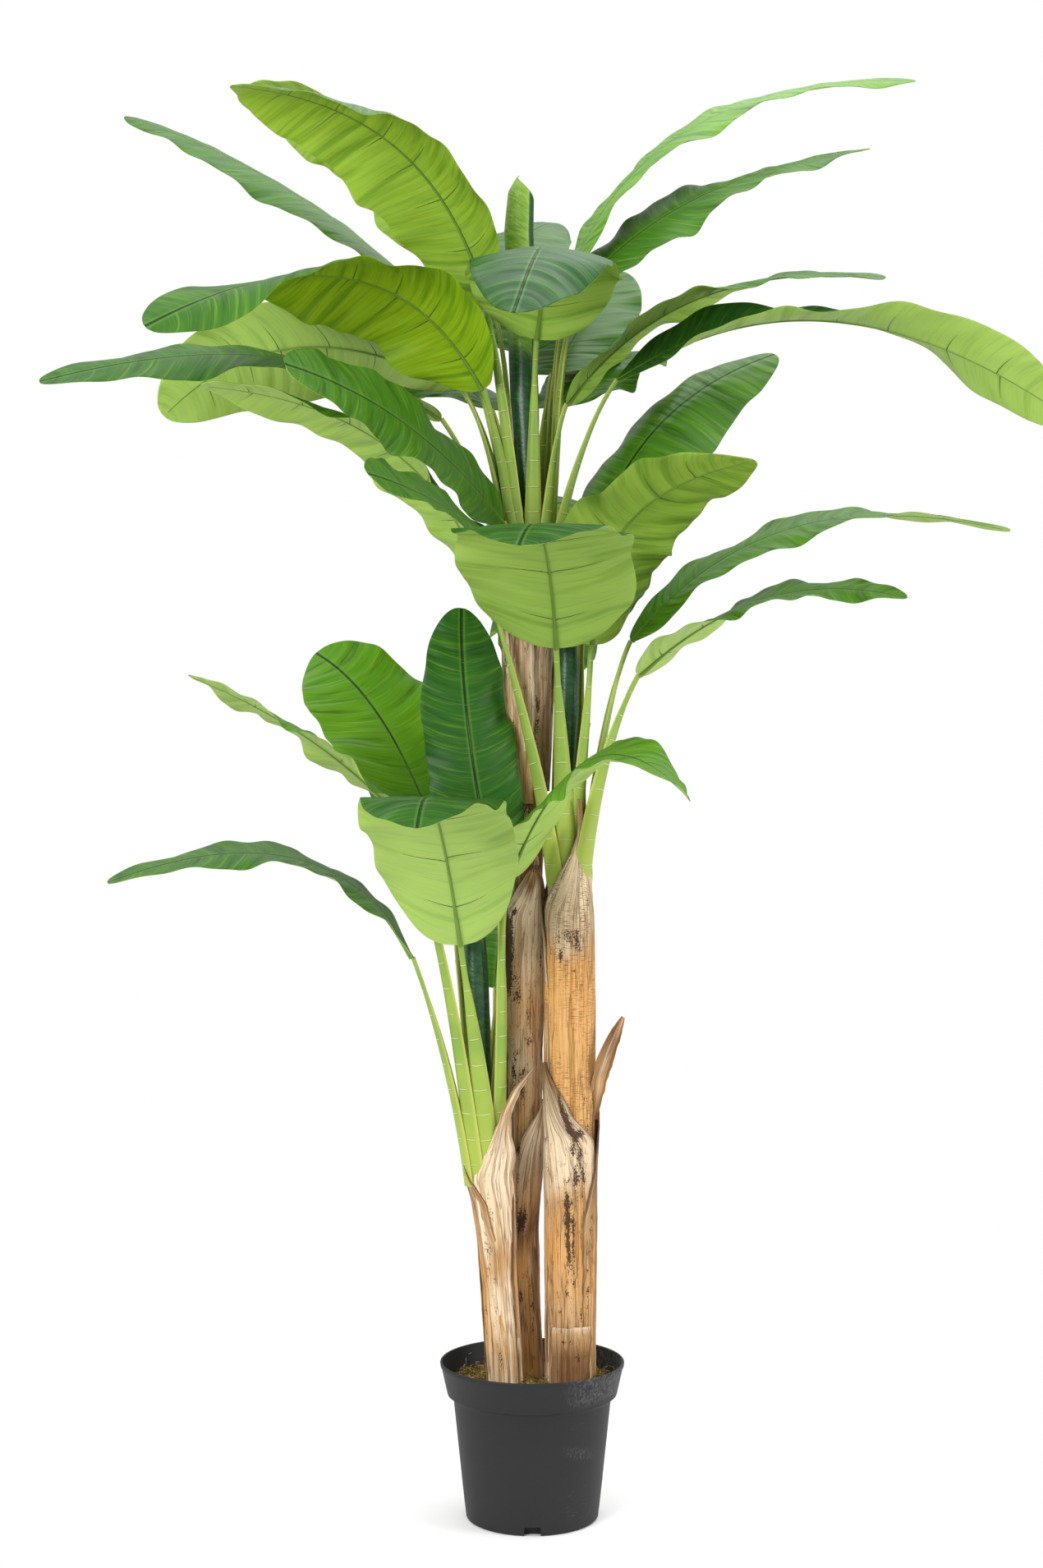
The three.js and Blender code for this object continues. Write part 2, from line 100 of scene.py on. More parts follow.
FLOOR_REACH = 30.0
floor_mesh = bpy.data.meshes.new("floor")
floor_mesh.from_pydata([(-FLOOR_REACH, -FLOOR_REACH, 0), (FLOOR_REACH, -FLOOR_REACH, 0),
                        (FLOOR_REACH, FLOOR_REACH, 0), (-FLOOR_REACH, FLOOR_REACH, 0)], [], [(0, 1, 2, 3)])
floor = bpy.data.objects.new("floor", floor_mesh)
bpy.context.scene.collection.objects.link(floor)
floor_paint = bpy.data.materials.new("floor_paint")
floor_paint.use_nodes = True
sweep_nodes = floor_paint.node_tree.nodes
sweep_nodes["Principled BSDF"].inputs["Base Color"].default_value = (0.95, 0.95, 0.95, 1)
sweep_nodes["Principled BSDF"].inputs["Roughness"].default_value = 0.9
place, reach, fade, glow, blend = (sweep_nodes.new("ShaderNode" + kind) for kind in (
    "TexCoord", "VectorMath", "MapRange", "Emission", "MixShader"))
reach.operation = "LENGTH"
fade.inputs["From Min"].default_value, fade.inputs["From Max"].default_value = 0.25, 0.75
for source, target in (
        (place.outputs["Object"], reach.inputs[0]), (reach.outputs["Value"], fade.inputs["Value"]),
        (fade.outputs[0], blend.inputs[0]), (sweep_nodes["Principled BSDF"].outputs[0], blend.inputs[1]),
        (glow.outputs[0], blend.inputs[2]),
        (blend.outputs[0], sweep_nodes["Material Output"].inputs["Surface"])):
    floor_paint.node_tree.links.new(source, target)
floor_mesh.materials.append(floor_paint)

# ---- Pot -----------------------------------------------------------------------------------------
# The round nursery pot: moulded black plastic with a plain rim band, a rounded foot and four
# drainage notches, scuffed pale on the rim where pots are stacked.
RIM_RADIUS, POT_HEIGHT, BAND_HEIGHT, BAND_FOOT_RADIUS = 150, 253, 54, 138
BODY_TOP_RADIUS, BASE_RADIUS, WALL, POT_FLOOR = 129, 108, 4, 12
NOTCH_WIDTH, NOTCH_HEIGHT, NOTCH_DEPTH, NOTCH_COUNT = 26, 15, 14, 4
POT_SIDES = 160


class Wire:
    """A socket of a material's node tree. Arithmetic on it adds Math nodes."""

    def __init__(self, tree, socket=None):
        self.tree, self.socket = tree, socket

    def node(self, kind, settings, sockets, output=0):
        """Adds one node: its settings or a ramp's stops first, then values or wires on its sockets."""
        made = self.tree.nodes.new("ShaderNode" + kind)
        for name, value in settings.items():
            if name == "stops":
                elements = made.color_ramp.elements
                elements[0].position, elements[1].position = value[0][0], value[-1][0]
                for place, _ in value[1:-1]:
                    elements.new(place)
                for element, (_, colour) in zip(elements, value):
                    element.color = (*colour, 1)
            else:
                setattr(made, name, value)
        for name, value in sockets.items():
            if isinstance(value, Wire):
                self.tree.links.new(value.socket, made.inputs[name])
            else:
                made.inputs[name].default_value = value
        return Wire(self.tree, made.outputs[output])

    def maths(self, operation, *values):
        return self.node("Math", {"operation": operation}, dict(enumerate(values)))

    def __add__(self, other):
        return self.maths("ADD", self, other)

    __radd__ = __add__

    def __sub__(self, other):
        return self.maths("SUBTRACT", self, other)

    def __rsub__(self, other):
        return self.maths("SUBTRACT", other, self)

    def __mul__(self, other):
        return self.maths("MULTIPLY", self, other)

    __rmul__ = __mul__

    def __truediv__(self, other):
        return self.maths("DIVIDE", self, other)

    def __abs__(self):
        return self.maths("ABSOLUTE", self)

    def fraction(self):
        return self.maths("FRACT", self)

    def most(self, other):
        return self.maths("MAXIMUM", self, other)

    def rise(self, low, high):
        """0 below low, 1 above high and a smooth step between; it falls where low is above high."""
        if low > high:
            return 1 - self.rise(high, low)
        return self.node("MapRange", {"interpolation_type": "SMOOTHSTEP"}, {0: self, 1: low, 2: high})

    def ramp(self, *stops):
        return self.node("ValToRGB", {"stops": stops}, {0: self})

    def mix(self, a, b, way="MIX"):
        """Colour a, turning to colour b where this wire is 1."""
        a, b = (c if isinstance(c, Wire) else (*c, 1) for c in (a, b))
        return self.node("Mix", {"data_type": "RGBA", "blend_type": way}, {0: self, 6: a, 7: b}, 2)

    def place(self):
        """Position in metres."""
        return self.node("TexCoord", {}, {}, "Object")

    def axes(self):
        return [self.node("SeparateXYZ", {}, {0: self}, axis) for axis in range(3)]

    def scaled(self, x, y, z):
        return self.node("VectorMath", {"operation": "MULTIPLY"}, {0: self, 1: (x, y, z)})

    def noise(self, scale, detail=2.0, roughness=0.5):
        return self.node("TexNoise", {}, {"Vector": self, "Scale": scale, "Detail": detail,
                                          "Roughness": roughness})

    def vector(self, x, y, z=0.0):
        return self.node("CombineXYZ", {}, {0: x, 1: y, 2: z})

    def sheet(self):
        """The piece's own map: across and along."""
        return self.node("UVMap", {"uv_map": "sheet"}, {})

    def spread(self, name):
        """A number that the piece carries over its surface."""
        return self.node("Attribute", {"attribute_name": name}, {}, "Fac")


def material(name, recipe, **constants):
    """A Principled material. The recipe gives a wire for each socket that varies, with Height for the
    bump in metres; constants are set on the shader's own sockets."""
    made = bpy.data.materials.new(name)
    made.use_nodes = True
    tree = made.node_tree
    shader = tree.nodes["Principled BSDF"]
    for socket, value in constants.items():
        shader.inputs[socket.replace("_", " ")].default_value = value
    start = Wire(tree)
    for socket, wire in recipe(start).items():
        if socket == "Height":
            socket, wire = "Normal", start.node("Bump", {}, {"Height": wire, "Distance": 1.0})
        tree.links.new(wire.socket, shader.inputs[socket])
    return made


def surface(points, spots, paint=0):
    """Faces over grids of points, sheets x rows x columns. Each quad joins neighbours in a row and a
    column, the last column is joined to the first, and one face closes either end. spots has the
    map's place of each point, with one column more where the grid meets itself, and paint is the
    material of each column of faces."""
    sheets, rows, columns = points.shape[:3]
    paint = np.broadcast_to(paint, columns)
    sheet, row, column = (index.ravel() for index in np.indices((sheets, rows - 1, columns)))
    steps = ((0, 0), (0, 1), (1, 1), (1, 0))
    loops = [np.stack([((sheet * rows + row + down) * columns + (column + over) % columns)
                       for down, over in steps], axis=1).ravel()]
    places = [np.stack([spots[sheet, row + down, column + over] for down, over in steps],
                       axis=1).reshape(-1, 2)]
    counts = [np.full(len(row), 4)]
    paints = [paint[column]]
    for end, order in ((0, -1), (rows - 1, 1)):
        ring = (np.arange(sheets)[:, None] * rows + end) * columns + np.arange(columns)[::order]
        loops.append(ring.ravel())
        places.append(spots[:, end, :columns][:, ::order].reshape(-1, 2))
        counts.append(np.full(sheets, columns))
        paints.append(np.full(sheets, paint[0]))
    return tuple(np.concatenate(part) for part in ([points.reshape(-1, 3)], loops, counts, places, paints))


def build(name, surfaces, materials, slot, nodes, sharp=40, **spreads):
    """One mesh piece from several surfaces, in metres, smooth but for edges sharper than the given
    angle. It rides on the plant's one body and stands for the named CAD nodes."""
    points, loops, counts, places, paints = ([s[part] for s in surfaces] for part in range(5))
    bases = np.cumsum([0] + [len(p) for p in points[:-1]])
    loops = np.concatenate([loop + base for loop, base in zip(loops, bases)])
    points, counts, places, paints = map(np.concatenate, (points, counts, places, paints))
    mesh = bpy.data.meshes.new(name)
    mesh.vertices.add(len(points))
    mesh.vertices.foreach_set("co", (points * 0.001).astype(np.float32).ravel())
    mesh.loops.add(len(loops))
    mesh.loops.foreach_set("vertex_index", loops.astype(np.int32))
    mesh.polygons.add(len(counts))
    mesh.polygons.foreach_set("loop_start", (np.cumsum(counts) - counts).astype(np.int32))
    mesh.polygons.foreach_set("material_index", paints.astype(np.int32))
    mesh.update(calc_edges=True)
    mesh.uv_layers.new(name="sheet").data.foreach_set("uv", places.astype(np.float32).ravel())
    for label, value in spreads.items():
        mesh.attributes.new(label, "FLOAT", "POINT").data.foreach_set(
            "value", np.full(len(points), value, np.float32))
    mesh.shade_smooth()
    mesh.set_sharp_from_angle(angle=np.radians(sharp))
    for paint in materials:
        mesh.materials.append(paint)
    piece = bpy.data.objects.new(name, mesh)
    bpy.context.scene.collection.objects.link(piece)
    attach(piece, "root")
    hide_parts(*nodes)
    return piece


def around(count):
    return np.arange(count) / count * 2 * np.pi


def paired(across, along):
    """The map's place of each point, from how far across and how far along it lies."""
    return np.stack(np.broadcast_arrays(across, along), axis=-1)


def lathe(profile, sides):
    """A profile of radius and height turned about the vertical axis, as one closed skin."""
    radius, height = np.array(profile, float).T
    turn = around(sides)
    points = np.stack([radius[:, None] * np.cos(turn), radius[:, None] * np.sin(turn),
                       np.repeat(height[:, None], sides, axis=1)], axis=-1)[None]
    return surface(points, paired(np.arange(sides + 1) / sides, height[:, None] * 0.001)[None])


def plastic(start):
    """Charcoal plastic with a fine moulded grain, paler rub marks and short scratches."""
    place = start.place()
    across, _, height = place.axes()
    cloud = place.noise(14, 4)
    grain = place.noise(1400, 1)
    streaks = place.scaled(60, 60, 420).noise(1, 3, 0.6)
    blots = place.scaled(240, 240, 150).noise(1, 4, 0.7)
    rim_mark = across.rise(0.04, 0.09) * height.rise(0.2, 0.222) * blots.rise(0.42, 0.62)
    body_mark = (streaks.rise(0.62, 0.70) * cloud.rise(0.46, 0.6)
                 * across.rise(0.02, 0.08) * height.rise(0.2, 0.17))
    slant = height + across * 0.35
    scuff = (across.rise(0.040, 0.070) * across.rise(0.105, 0.080)
             * slant.rise(0.138, 0.152) * slant.rise(0.170, 0.156))
    marks = (rim_mark * 0.8).most(body_mark * 0.4).most(scuff * blots.rise(0.40, 0.70) * 0.5)
    colour = marks.mix(cloud.mix((0.009, 0.010, 0.0095), (0.018, 0.019, 0.018)), (0.10, 0.105, 0.10))
    return {"Base Color": colour, "Roughness": 0.5 + cloud * 0.16 + marks * 0.2,
            "Height": grain * 0.00012 + cloud * 0.0006}


STEP = POT_HEIGHT - BAND_HEIGHT
foot = [(BASE_RADIUS - 5 + 5 * np.sin(a), 5 - 5 * np.cos(a)) for a in np.linspace(0, np.pi / 2, 6)]
rim = [(RIM_RADIUS - 2 + 2 * np.cos(a), POT_HEIGHT - 2 + 2 * np.sin(a)) for a in np.linspace(0, np.pi, 7)]
inner_slope = (BODY_TOP_RADIUS - BASE_RADIUS) / STEP
pot_profile = [
    (0.5, 3), (BASE_RADIUS - 16, 3), (BASE_RADIUS - 13, 0), *foot,
    (BASE_RADIUS + inner_slope * 60, 60), (BASE_RADIUS + inner_slope * 130, 130),
    (BODY_TOP_RADIUS - 1, STEP - 8), (BODY_TOP_RADIUS + 0.5, STEP - 2), (BODY_TOP_RADIUS + 3, STEP + 0.3),
    (BAND_FOOT_RADIUS - 2, STEP + 0.6), (BAND_FOOT_RADIUS, STEP + 2), (BAND_FOOT_RADIUS + 1, STEP + 6),
    (RIM_RADIUS - 2.2, POT_HEIGHT - 9), (RIM_RADIUS - 0.6, POT_HEIGHT - 7), *rim,
    (RIM_RADIUS - WALL - 1, POT_HEIGHT - 8), (BAND_FOOT_RADIUS - WALL, STEP + WALL),
    (BODY_TOP_RADIUS - WALL, STEP), (BASE_RADIUS + inner_slope * POT_FLOOR - WALL, POT_FLOOR),
    (0.5, POT_FLOOR)]
pot_plastic = material("pot_plastic", plastic, Specular_IOR_Level=0.3)
pot = build("nursery_pot", [lathe(pot_profile, POT_SIDES)], [pot_plastic], "pot_plastic", ["pot"], sharp=35)

cutters = bpy.data.collections.new("cutters")
for index in range(NOTCH_COUNT):
    corners = np.array([(x, y, z) for x in (-1, 1) for y in (-1, 1) for z in (-1, 1)]) * (
        NOTCH_DEPTH, NOTCH_WIDTH / 2, NOTCH_HEIGHT) + (BASE_RADIUS, 0, 0)
    turn = index * 2 * np.pi / NOTCH_COUNT
    spin = np.array([[np.cos(turn), np.sin(turn), 0], [-np.sin(turn), np.cos(turn), 0], [0, 0, 1]])
    box_mesh = bpy.data.meshes.new("cutter")
    box_mesh.from_pydata((corners @ spin * 0.001).tolist(), [], [
        (0, 1, 3, 2), (4, 6, 7, 5), (0, 4, 5, 1), (2, 3, 7, 6), (0, 2, 6, 4), (1, 5, 7, 3)])
    cutters.objects.link(bpy.data.objects.new("cutter", box_mesh))
bpy.context.scene.collection.children.link(cutters)
cut = pot.modifiers.new("notches", "BOOLEAN")
cut.operand_type = "COLLECTION"
cut.collection = cutters
cut.solver = "EXACT"
notched = bpy.data.meshes.new_from_object(pot.evaluated_get(bpy.context.evaluated_depsgraph_get()))
pot.modifiers.clear()
pot.data = notched
notched.set_sharp_from_angle(angle=np.radians(35))
for box in list(cutters.objects):
    bpy.data.objects.remove(box)
bpy.data.collections.remove(cutters)

# ---- Fill and moss -------------------------------------------------------------------------------
# The pot is weighted with set mortar, painted dark, and dressed with tufts of dyed moss.
FILL_TOP = 216
CLUMPS = ((-96, -20, 34), (-104, 22, 24), (-10, -52, 14), (108, -20, 18), (112, 20, 20),
          (20, 84, 30), (-60, 70, 30), (82, 66, 24), (4, -30, 14))
rng = np.random.default_rng(7)


def lattice_noise(across, along, cells_across, cells_along):
    """Smooth relief between -1 and 1: random heights on a lattice that wraps across, joined by
    smooth steps in both directions; across and along are shares from 0 to 1."""
    lattice = rng.uniform(-1, 1, (cells_along + 2, cells_across))
    x, y = across * cells_across, along * cells_along
    column, row = np.floor(x).astype(int), np.floor(y).astype(int)
    over, down = ((part - whole) ** 2 * (3 - 2 * (part - whole)) for part, whole in ((x, column), (y, row)))

    def at(dr, dc):
        return lattice[row + dr, (column + dc) % cells_across]

    return ((at(0, 0) * (1 - over) + at(0, 1) * over) * (1 - down)
            + (at(1, 0) * (1 - over) + at(1, 1) * over) * down)


def tubes(paths, radii, ups, sides, paint=0):
    """Round tubes along paths, tubes x points x 3: each ring is square to its path, with its own
    radius, and the map has turns across and metres along."""
    run = np.gradient(paths, axis=1)
    run /= np.linalg.norm(run, axis=2, keepdims=True)
    side = np.cross(ups, run)
    side /= np.linalg.norm(side, axis=2, keepdims=True)
    up = np.cross(run, side)
    turn = around(sides)[None, None, :, None]
    points = paths[:, :, None] + radii[:, :, None, None] * (
        side[:, :, None] * np.cos(turn) + up[:, :, None] * np.sin(turn))
    steps = np.linalg.norm(np.diff(paths, axis=1), axis=2)
    along = np.concatenate([np.zeros((len(paths), 1)), np.cumsum(steps, axis=1)], axis=1) * 0.001
    return surface(points, paired(np.arange(sides + 1) / sides, along[:, :, None]), paint)


def mortar(start):
    """Dark painted mortar, crumbly and matt."""
    place = start.place()
    lumps = place.noise(90, 5, 0.6)
    return {"Base Color": lumps.ramp((0.3, (0.005, 0.004, 0.003)), (0.7, (0.026, 0.018, 0.010))),
            "Roughness": 0.85 + lumps * 0.1, "Height": lumps * 0.004}


def moss(start):
    """Dyed moss: olive to straw, strand by strand."""
    shade = start.place().noise(70, 2)
    return {"Base Color": shade.ramp((0.3, (0.05, 0.04, 0.008)), (0.5, (0.22, 0.155, 0.03)),
                                     (0.7, (0.50, 0.36, 0.10)))}


DISC_SIDES, DISC_ROWS = 96, 40
fill_radius = BAND_FOOT_RADIUS + 6 - WALL
disc_turn, disc_share = np.meshgrid(np.arange(DISC_SIDES) / DISC_SIDES, np.linspace(0.004, 1, DISC_ROWS))
disc_height = FILL_TOP - 2 + 3.5 * lattice_noise(disc_turn, disc_share * 0.99, 24, 9) \
    + 1.5 * lattice_noise(disc_turn, disc_share * 0.99, 70, 26)
disc = np.stack([fill_radius * (1 - disc_share) * np.cos(disc_turn * 2 * np.pi),
                 fill_radius * (1 - disc_share) * np.sin(disc_turn * 2 * np.pi), disc_height], axis=-1)
foot_ring = np.stack([disc[0, :, 0] * 0.97, disc[0, :, 1] * 0.97,
                      np.full(DISC_SIDES, POT_FLOOR + 190.0)], axis=-1)
disc = np.concatenate([foot_ring[None], disc])[None]
disc_spots = np.zeros((1, DISC_ROWS + 1, DISC_SIDES + 1, 2))

STRANDS, STRAND_POINTS, ROOT_REACH, STRAND_REACH = 520, 7, 132, 136
clumps = np.array(CLUMPS, float)
clumps = clumps[rng.choice(len(CLUMPS), STRANDS, p=clumps[:, 2] / clumps[:, 2].sum())]
spread = rng.normal(0, 0.42, (STRANDS, 2)) * clumps[:, 2:]
root = np.column_stack([clumps[:, :2] + spread, np.full(STRANDS, FILL_TOP - 1.0)])
stretch = ROOT_REACH / np.maximum(ROOT_REACH, np.linalg.norm(root[:, :2], axis=1))
root[:, :2] *= stretch[:, None]
steps = rng.normal(0, 1, (STRANDS, STRAND_POINTS, 3)) * (5, 5, 3.2)
steps[:, 0] = 0
strand = root[:, None] + np.cumsum(steps, axis=1)
strand[:, :, 2] = FILL_TOP + np.abs(strand[:, :, 2] - FILL_TOP) * 1.1 \
    + 9 * np.exp(-(np.linalg.norm(spread, axis=1) / clumps[:, 2] / 0.5) ** 2)[:, None]
reach = np.linalg.norm(strand[:, :, :2], axis=2, keepdims=True)
strand[:, :, :2] *= np.minimum(1, STRAND_REACH / np.maximum(reach, 1))
thick = rng.uniform(0.5, 1.3, (STRANDS, 1)) * np.linspace(1, 0.35, STRAND_POINTS)
build("pot_fill", [surface(disc, disc_spots)], [material("mortar", mortar)], "pot_fill", ["fill"])
build("moss", [tubes(strand, thick, np.array([0.3, 0.2, 0.93]), 4)],
      [material("moss", moss, Roughness=0.9)], "pot_fill", ["fill"])

# ---- Stems ---------------------------------------------------------------------------------------
# Each stem is a core under real dried leaf sheaths, painted by height: long fibres, cracks along
# them, scratches across them, weathered blots, and dark lines at each sheath's edge, with painted
# shadow on the low side of each step where one sheath's edge overlies the next.
STEM_SIDES, STEM_STEP, STEM_GIRTH, SHEATH_ROOM = 108, 4.6, 0.24, 4.5
STEM_RIBS = ((0.03, 3, 90), (0.02, 5, -60))
STEMS = {
    "stem_upper": ((216, -5, 35, 29), (330, -10, 35, 29), (455, -15, 35, 30), (600, -12, 35, 29),
                   (740, -9, 35, 29), (860, -13, 36, 32), (1000, -12, 36, 33), (1130, -11, 36, 34),
                   (1260, -9, 35, 36), (1380, -7, 31, 38), (1450, -4, 25, 40), (1490, 0, 20, 37)),
    "stem_middle": ((216, 61, -12, 39), (300, 62, -12, 41), (400, 62, -12, 38), (520, 62, -12, 39),
                    (640, 62, -12, 40), (760, 62, -12, 40), (880, 61, -12, 40), (980, 60, -11, 40),
                    (1020, 58, -10, 38), (1040, 56, -10, 35)),
    "stem_lower": ((216, -44, -32, 27), (290, -47, -32, 26), (380, -54, -31, 26), (450, -58, -30, 30),
                   (520, -63, -30, 34), (558, -70, -30, 33)),
}
CREAM, GREIGE, TAN, ORANGE = (0.84, 0.67, 0.46), (0.62, 0.47, 0.29), (0.56, 0.34, 0.15), (0.70, 0.38, 0.125)
BROWN, UMBER, SOOT = (0.27, 0.135, 0.052), (0.095, 0.043, 0.018), (0.030, 0.015, 0.010)
STEM_COLOURS = {
    "stem_upper": ((0.22, TAN), (0.45, BROWN), (0.70, TAN), (1.0, BROWN), (1.2, TAN), (1.35, GREIGE),
                   (1.49, BROWN)),
    "stem_middle": ((0.22, TAN), (0.56, TAN), (0.66, ORANGE), (0.95, GREIGE), (1.04, CREAM)),
    "stem_lower": ((0.22, ORANGE), (0.45, TAN), (0.56, BROWN)),
}


def bark(colours, specks=0.4, scratches=0.0, bleach=0.4):
    """Dry sheath fibre, on a map of metres round and metres up: colours by height, then how many
    dark specks, scratches across and bleached fibres it has."""
    def recipe(start):
        arc, height, _ = start.sheet().axes()
        soot, edge = start.spread("soot"), start.spread("edge")
        low, high = colours[0][0], colours[-1][0]
        cloud = start.vector(arc * 24, height * 7).noise(1, 3)
        fibre = start.vector(arc * 800, height * 13, 3.0).noise(1, 3, 0.65)
        strips = start.vector(arc * 95, height * 3.5, 5.0).noise(1, 3, 0.6)
        grime = start.vector(arc * 150, height * 42, 7.0).noise(1, 5, 0.75)
        stipple = start.vector(arc * 480, height * 300, 9.0).noise(1, 2)
        cracks = abs(start.vector(arc * 74, height * 3.2, 11.0).noise(1, 3, 0.6) - 0.5).rise(0.026, 0.006)
        scratch = start.vector(arc * 75, height * 950, 13.0).noise(1, 1)
        cuts = scratch.rise(0.58, 0.63) * cloud.rise(0.40, 0.52)
        base = ((height - low) / (high - low) + (cloud - 0.5) * 0.35).ramp(
            *[((z - low) / (high - low), tone) for z, tone in colours])
        bleached = (strips.rise(0.50, 0.64) * bleach).mix(base, (0.93, 0.82, 0.64))
        toned = (strips.rise(0.47, 0.34) * 0.6).mix(bleached, (0.60, 0.42, 0.24), "MULTIPLY")
        combed = (fibre.rise(0.54, 0.36) * 0.5).mix(toned, (0.50, 0.34, 0.20), "MULTIPLY")
        dusty = (grime.rise(0.53, 0.68) * (0.1 + 0.75 * specks)).mix(combed, UMBER)
        split = (cracks * 0.5).most(cuts * scratches).mix(dusty, (0.14, 0.066, 0.028))
        blot = (soot + (grime - 0.5) * 2.2 + (stipple - 0.5) * 1.6).rise(0.42, 0.70)
        dots = stipple.rise(0.68, 0.72) * grime.rise(0.42, 0.55) * specks
        # Edge lines darken to umber. On the stems they are partly painted shadow below each sheath step; on
        # the wraps they are the dark torn margins.
        edge_lines_and_shadow = (edge * 0.75).mix(split, UMBER)
        stain = stipple.rise(0.35, 0.65).mix(SOOT, (0.06, 0.028, 0.014))
        return {"Base Color": (blot * 0.93).most(dots).mix(edge_lines_and_shadow, stain),
                "Roughness": 0.72 + fibre * 0.2,
                "Height": fibre * 0.0010 + strips * 0.0020 - cracks * 0.0008 - blot * 0.0006}
    return recipe


def sooty(angle, height, blots):
    """Weathering: soft spots, each with its direction in degrees, height, reach round in degrees,
    reach up in millimetres and strength."""
    value = np.zeros(np.broadcast_shapes(angle.shape, height.shape))
    for facing, level, wide, tall, strength in blots:
        off = (np.degrees(angle) - facing + 180) % 360 - 180
        value = value + strength * np.exp(-(off / wide) ** 2 - ((height - level) / tall) ** 2)
    return value


STEM_BLOTS = {
    "stem_upper": ((270, 1160, 30, 60, 0.5), (230, 1300, 25, 40, 0.6), (300, 1420, 30, 30, 0.5),
                   (90, 900, 40, 90, 0.5), (200, 1060, 25, 90, 0.6)),
    "stem_middle": ((60, 600, 30, 60, 0.5),),
    "stem_lower": ((120, 400, 30, 60, 0.5),),
}


def smoothed(values, reach):
    """Each list of values, averaged over reach neighbours to either side by a raised cosine."""
    window = np.hanning(2 * reach + 3)[1:-1]
    return (np.convolve(np.pad(v, reach, mode="edge"), window / window.sum(), "valid") for v in values)


def stem(stations, blots):
    """A stem's skin on a grid of turn and height. Its centre and radius run smoothly through the
    stations; the radius has the source's ribs, then lumps, fibres and the steps of three sheaths
    whose edges climb round it. With it come its soot and its edge lines, point by point: dark at each
    sheath's edge, and painted shadow on the low side of each step."""
    rows = int((stations[-1][0] - stations[0][0]) / STEM_STEP)
    height = np.linspace(stations[0][0], stations[-1][0], rows)
    knots = np.array(stations, float).T
    x, y, radius = smoothed((np.interp(height, knots[0], knot) for knot in knots[1:]), 6)
    turn, up = np.meshgrid(np.arange(STEM_SIDES) / STEM_SIDES, np.linspace(0, 0.999, rows))
    angle, level = turn * 2 * np.pi + np.pi / 2, height[:, None]
    ribs = 1 + sum(depth * np.sin(count * angle + level / climb) for depth, count, climb in STEM_RIBS)
    tall = rows * STEM_STEP
    layer = (3 * turn + level / 520 + 0.10 * np.sin(level / 70) + 0.05 * np.sin(level / 23)) % 1
    relief = 1.7 * lattice_noise(turn, up, 7, max(3, int(tall / 90))) \
        + 0.8 * lattice_noise(turn, up, 46, max(4, int(tall / 60))) \
        + 0.45 * lattice_noise(turn, up, 72, max(6, int(tall / 16))) \
        + 2.6 * (1 - layer) - 1.3
    reach = radius[:, None] * ribs - SHEATH_ROOM + relief
    reach[[0, -1]] *= 0.9
    points = np.stack([x[:, None] + reach * np.cos(angle), y[:, None] + reach * np.sin(angle),
                       np.broadcast_to(level, angle.shape)], axis=-1)[None]
    spots = paired(np.arange(STEM_SIDES + 1) / STEM_SIDES * STEM_GIRTH, level * 0.001)[None]
    # Edge lines: from 0.90 to 0.98 of each layer, just below a step, painted shadow under the overlying
    # sheath edge; below 0.05, the dark edge itself.
    edge = np.maximum(np.clip((layer - 0.90) / 0.08, 0, 1), np.clip((0.05 - layer) / 0.04, 0, 1))
    return surface(points, spots), sooty(angle, level, blots).ravel(), edge.ravel()


for name, stations in STEMS.items():
    skin, soot, edge = stem(stations, STEM_BLOTS[name])
    stem_paint = material("bark_" + name, bark(STEM_COLOURS[name]), Specular_IOR_Level=0.2)
    build("bark_" + name, [skin], [stem_paint], "stem_bark", [name], soot=soot, edge=edge)

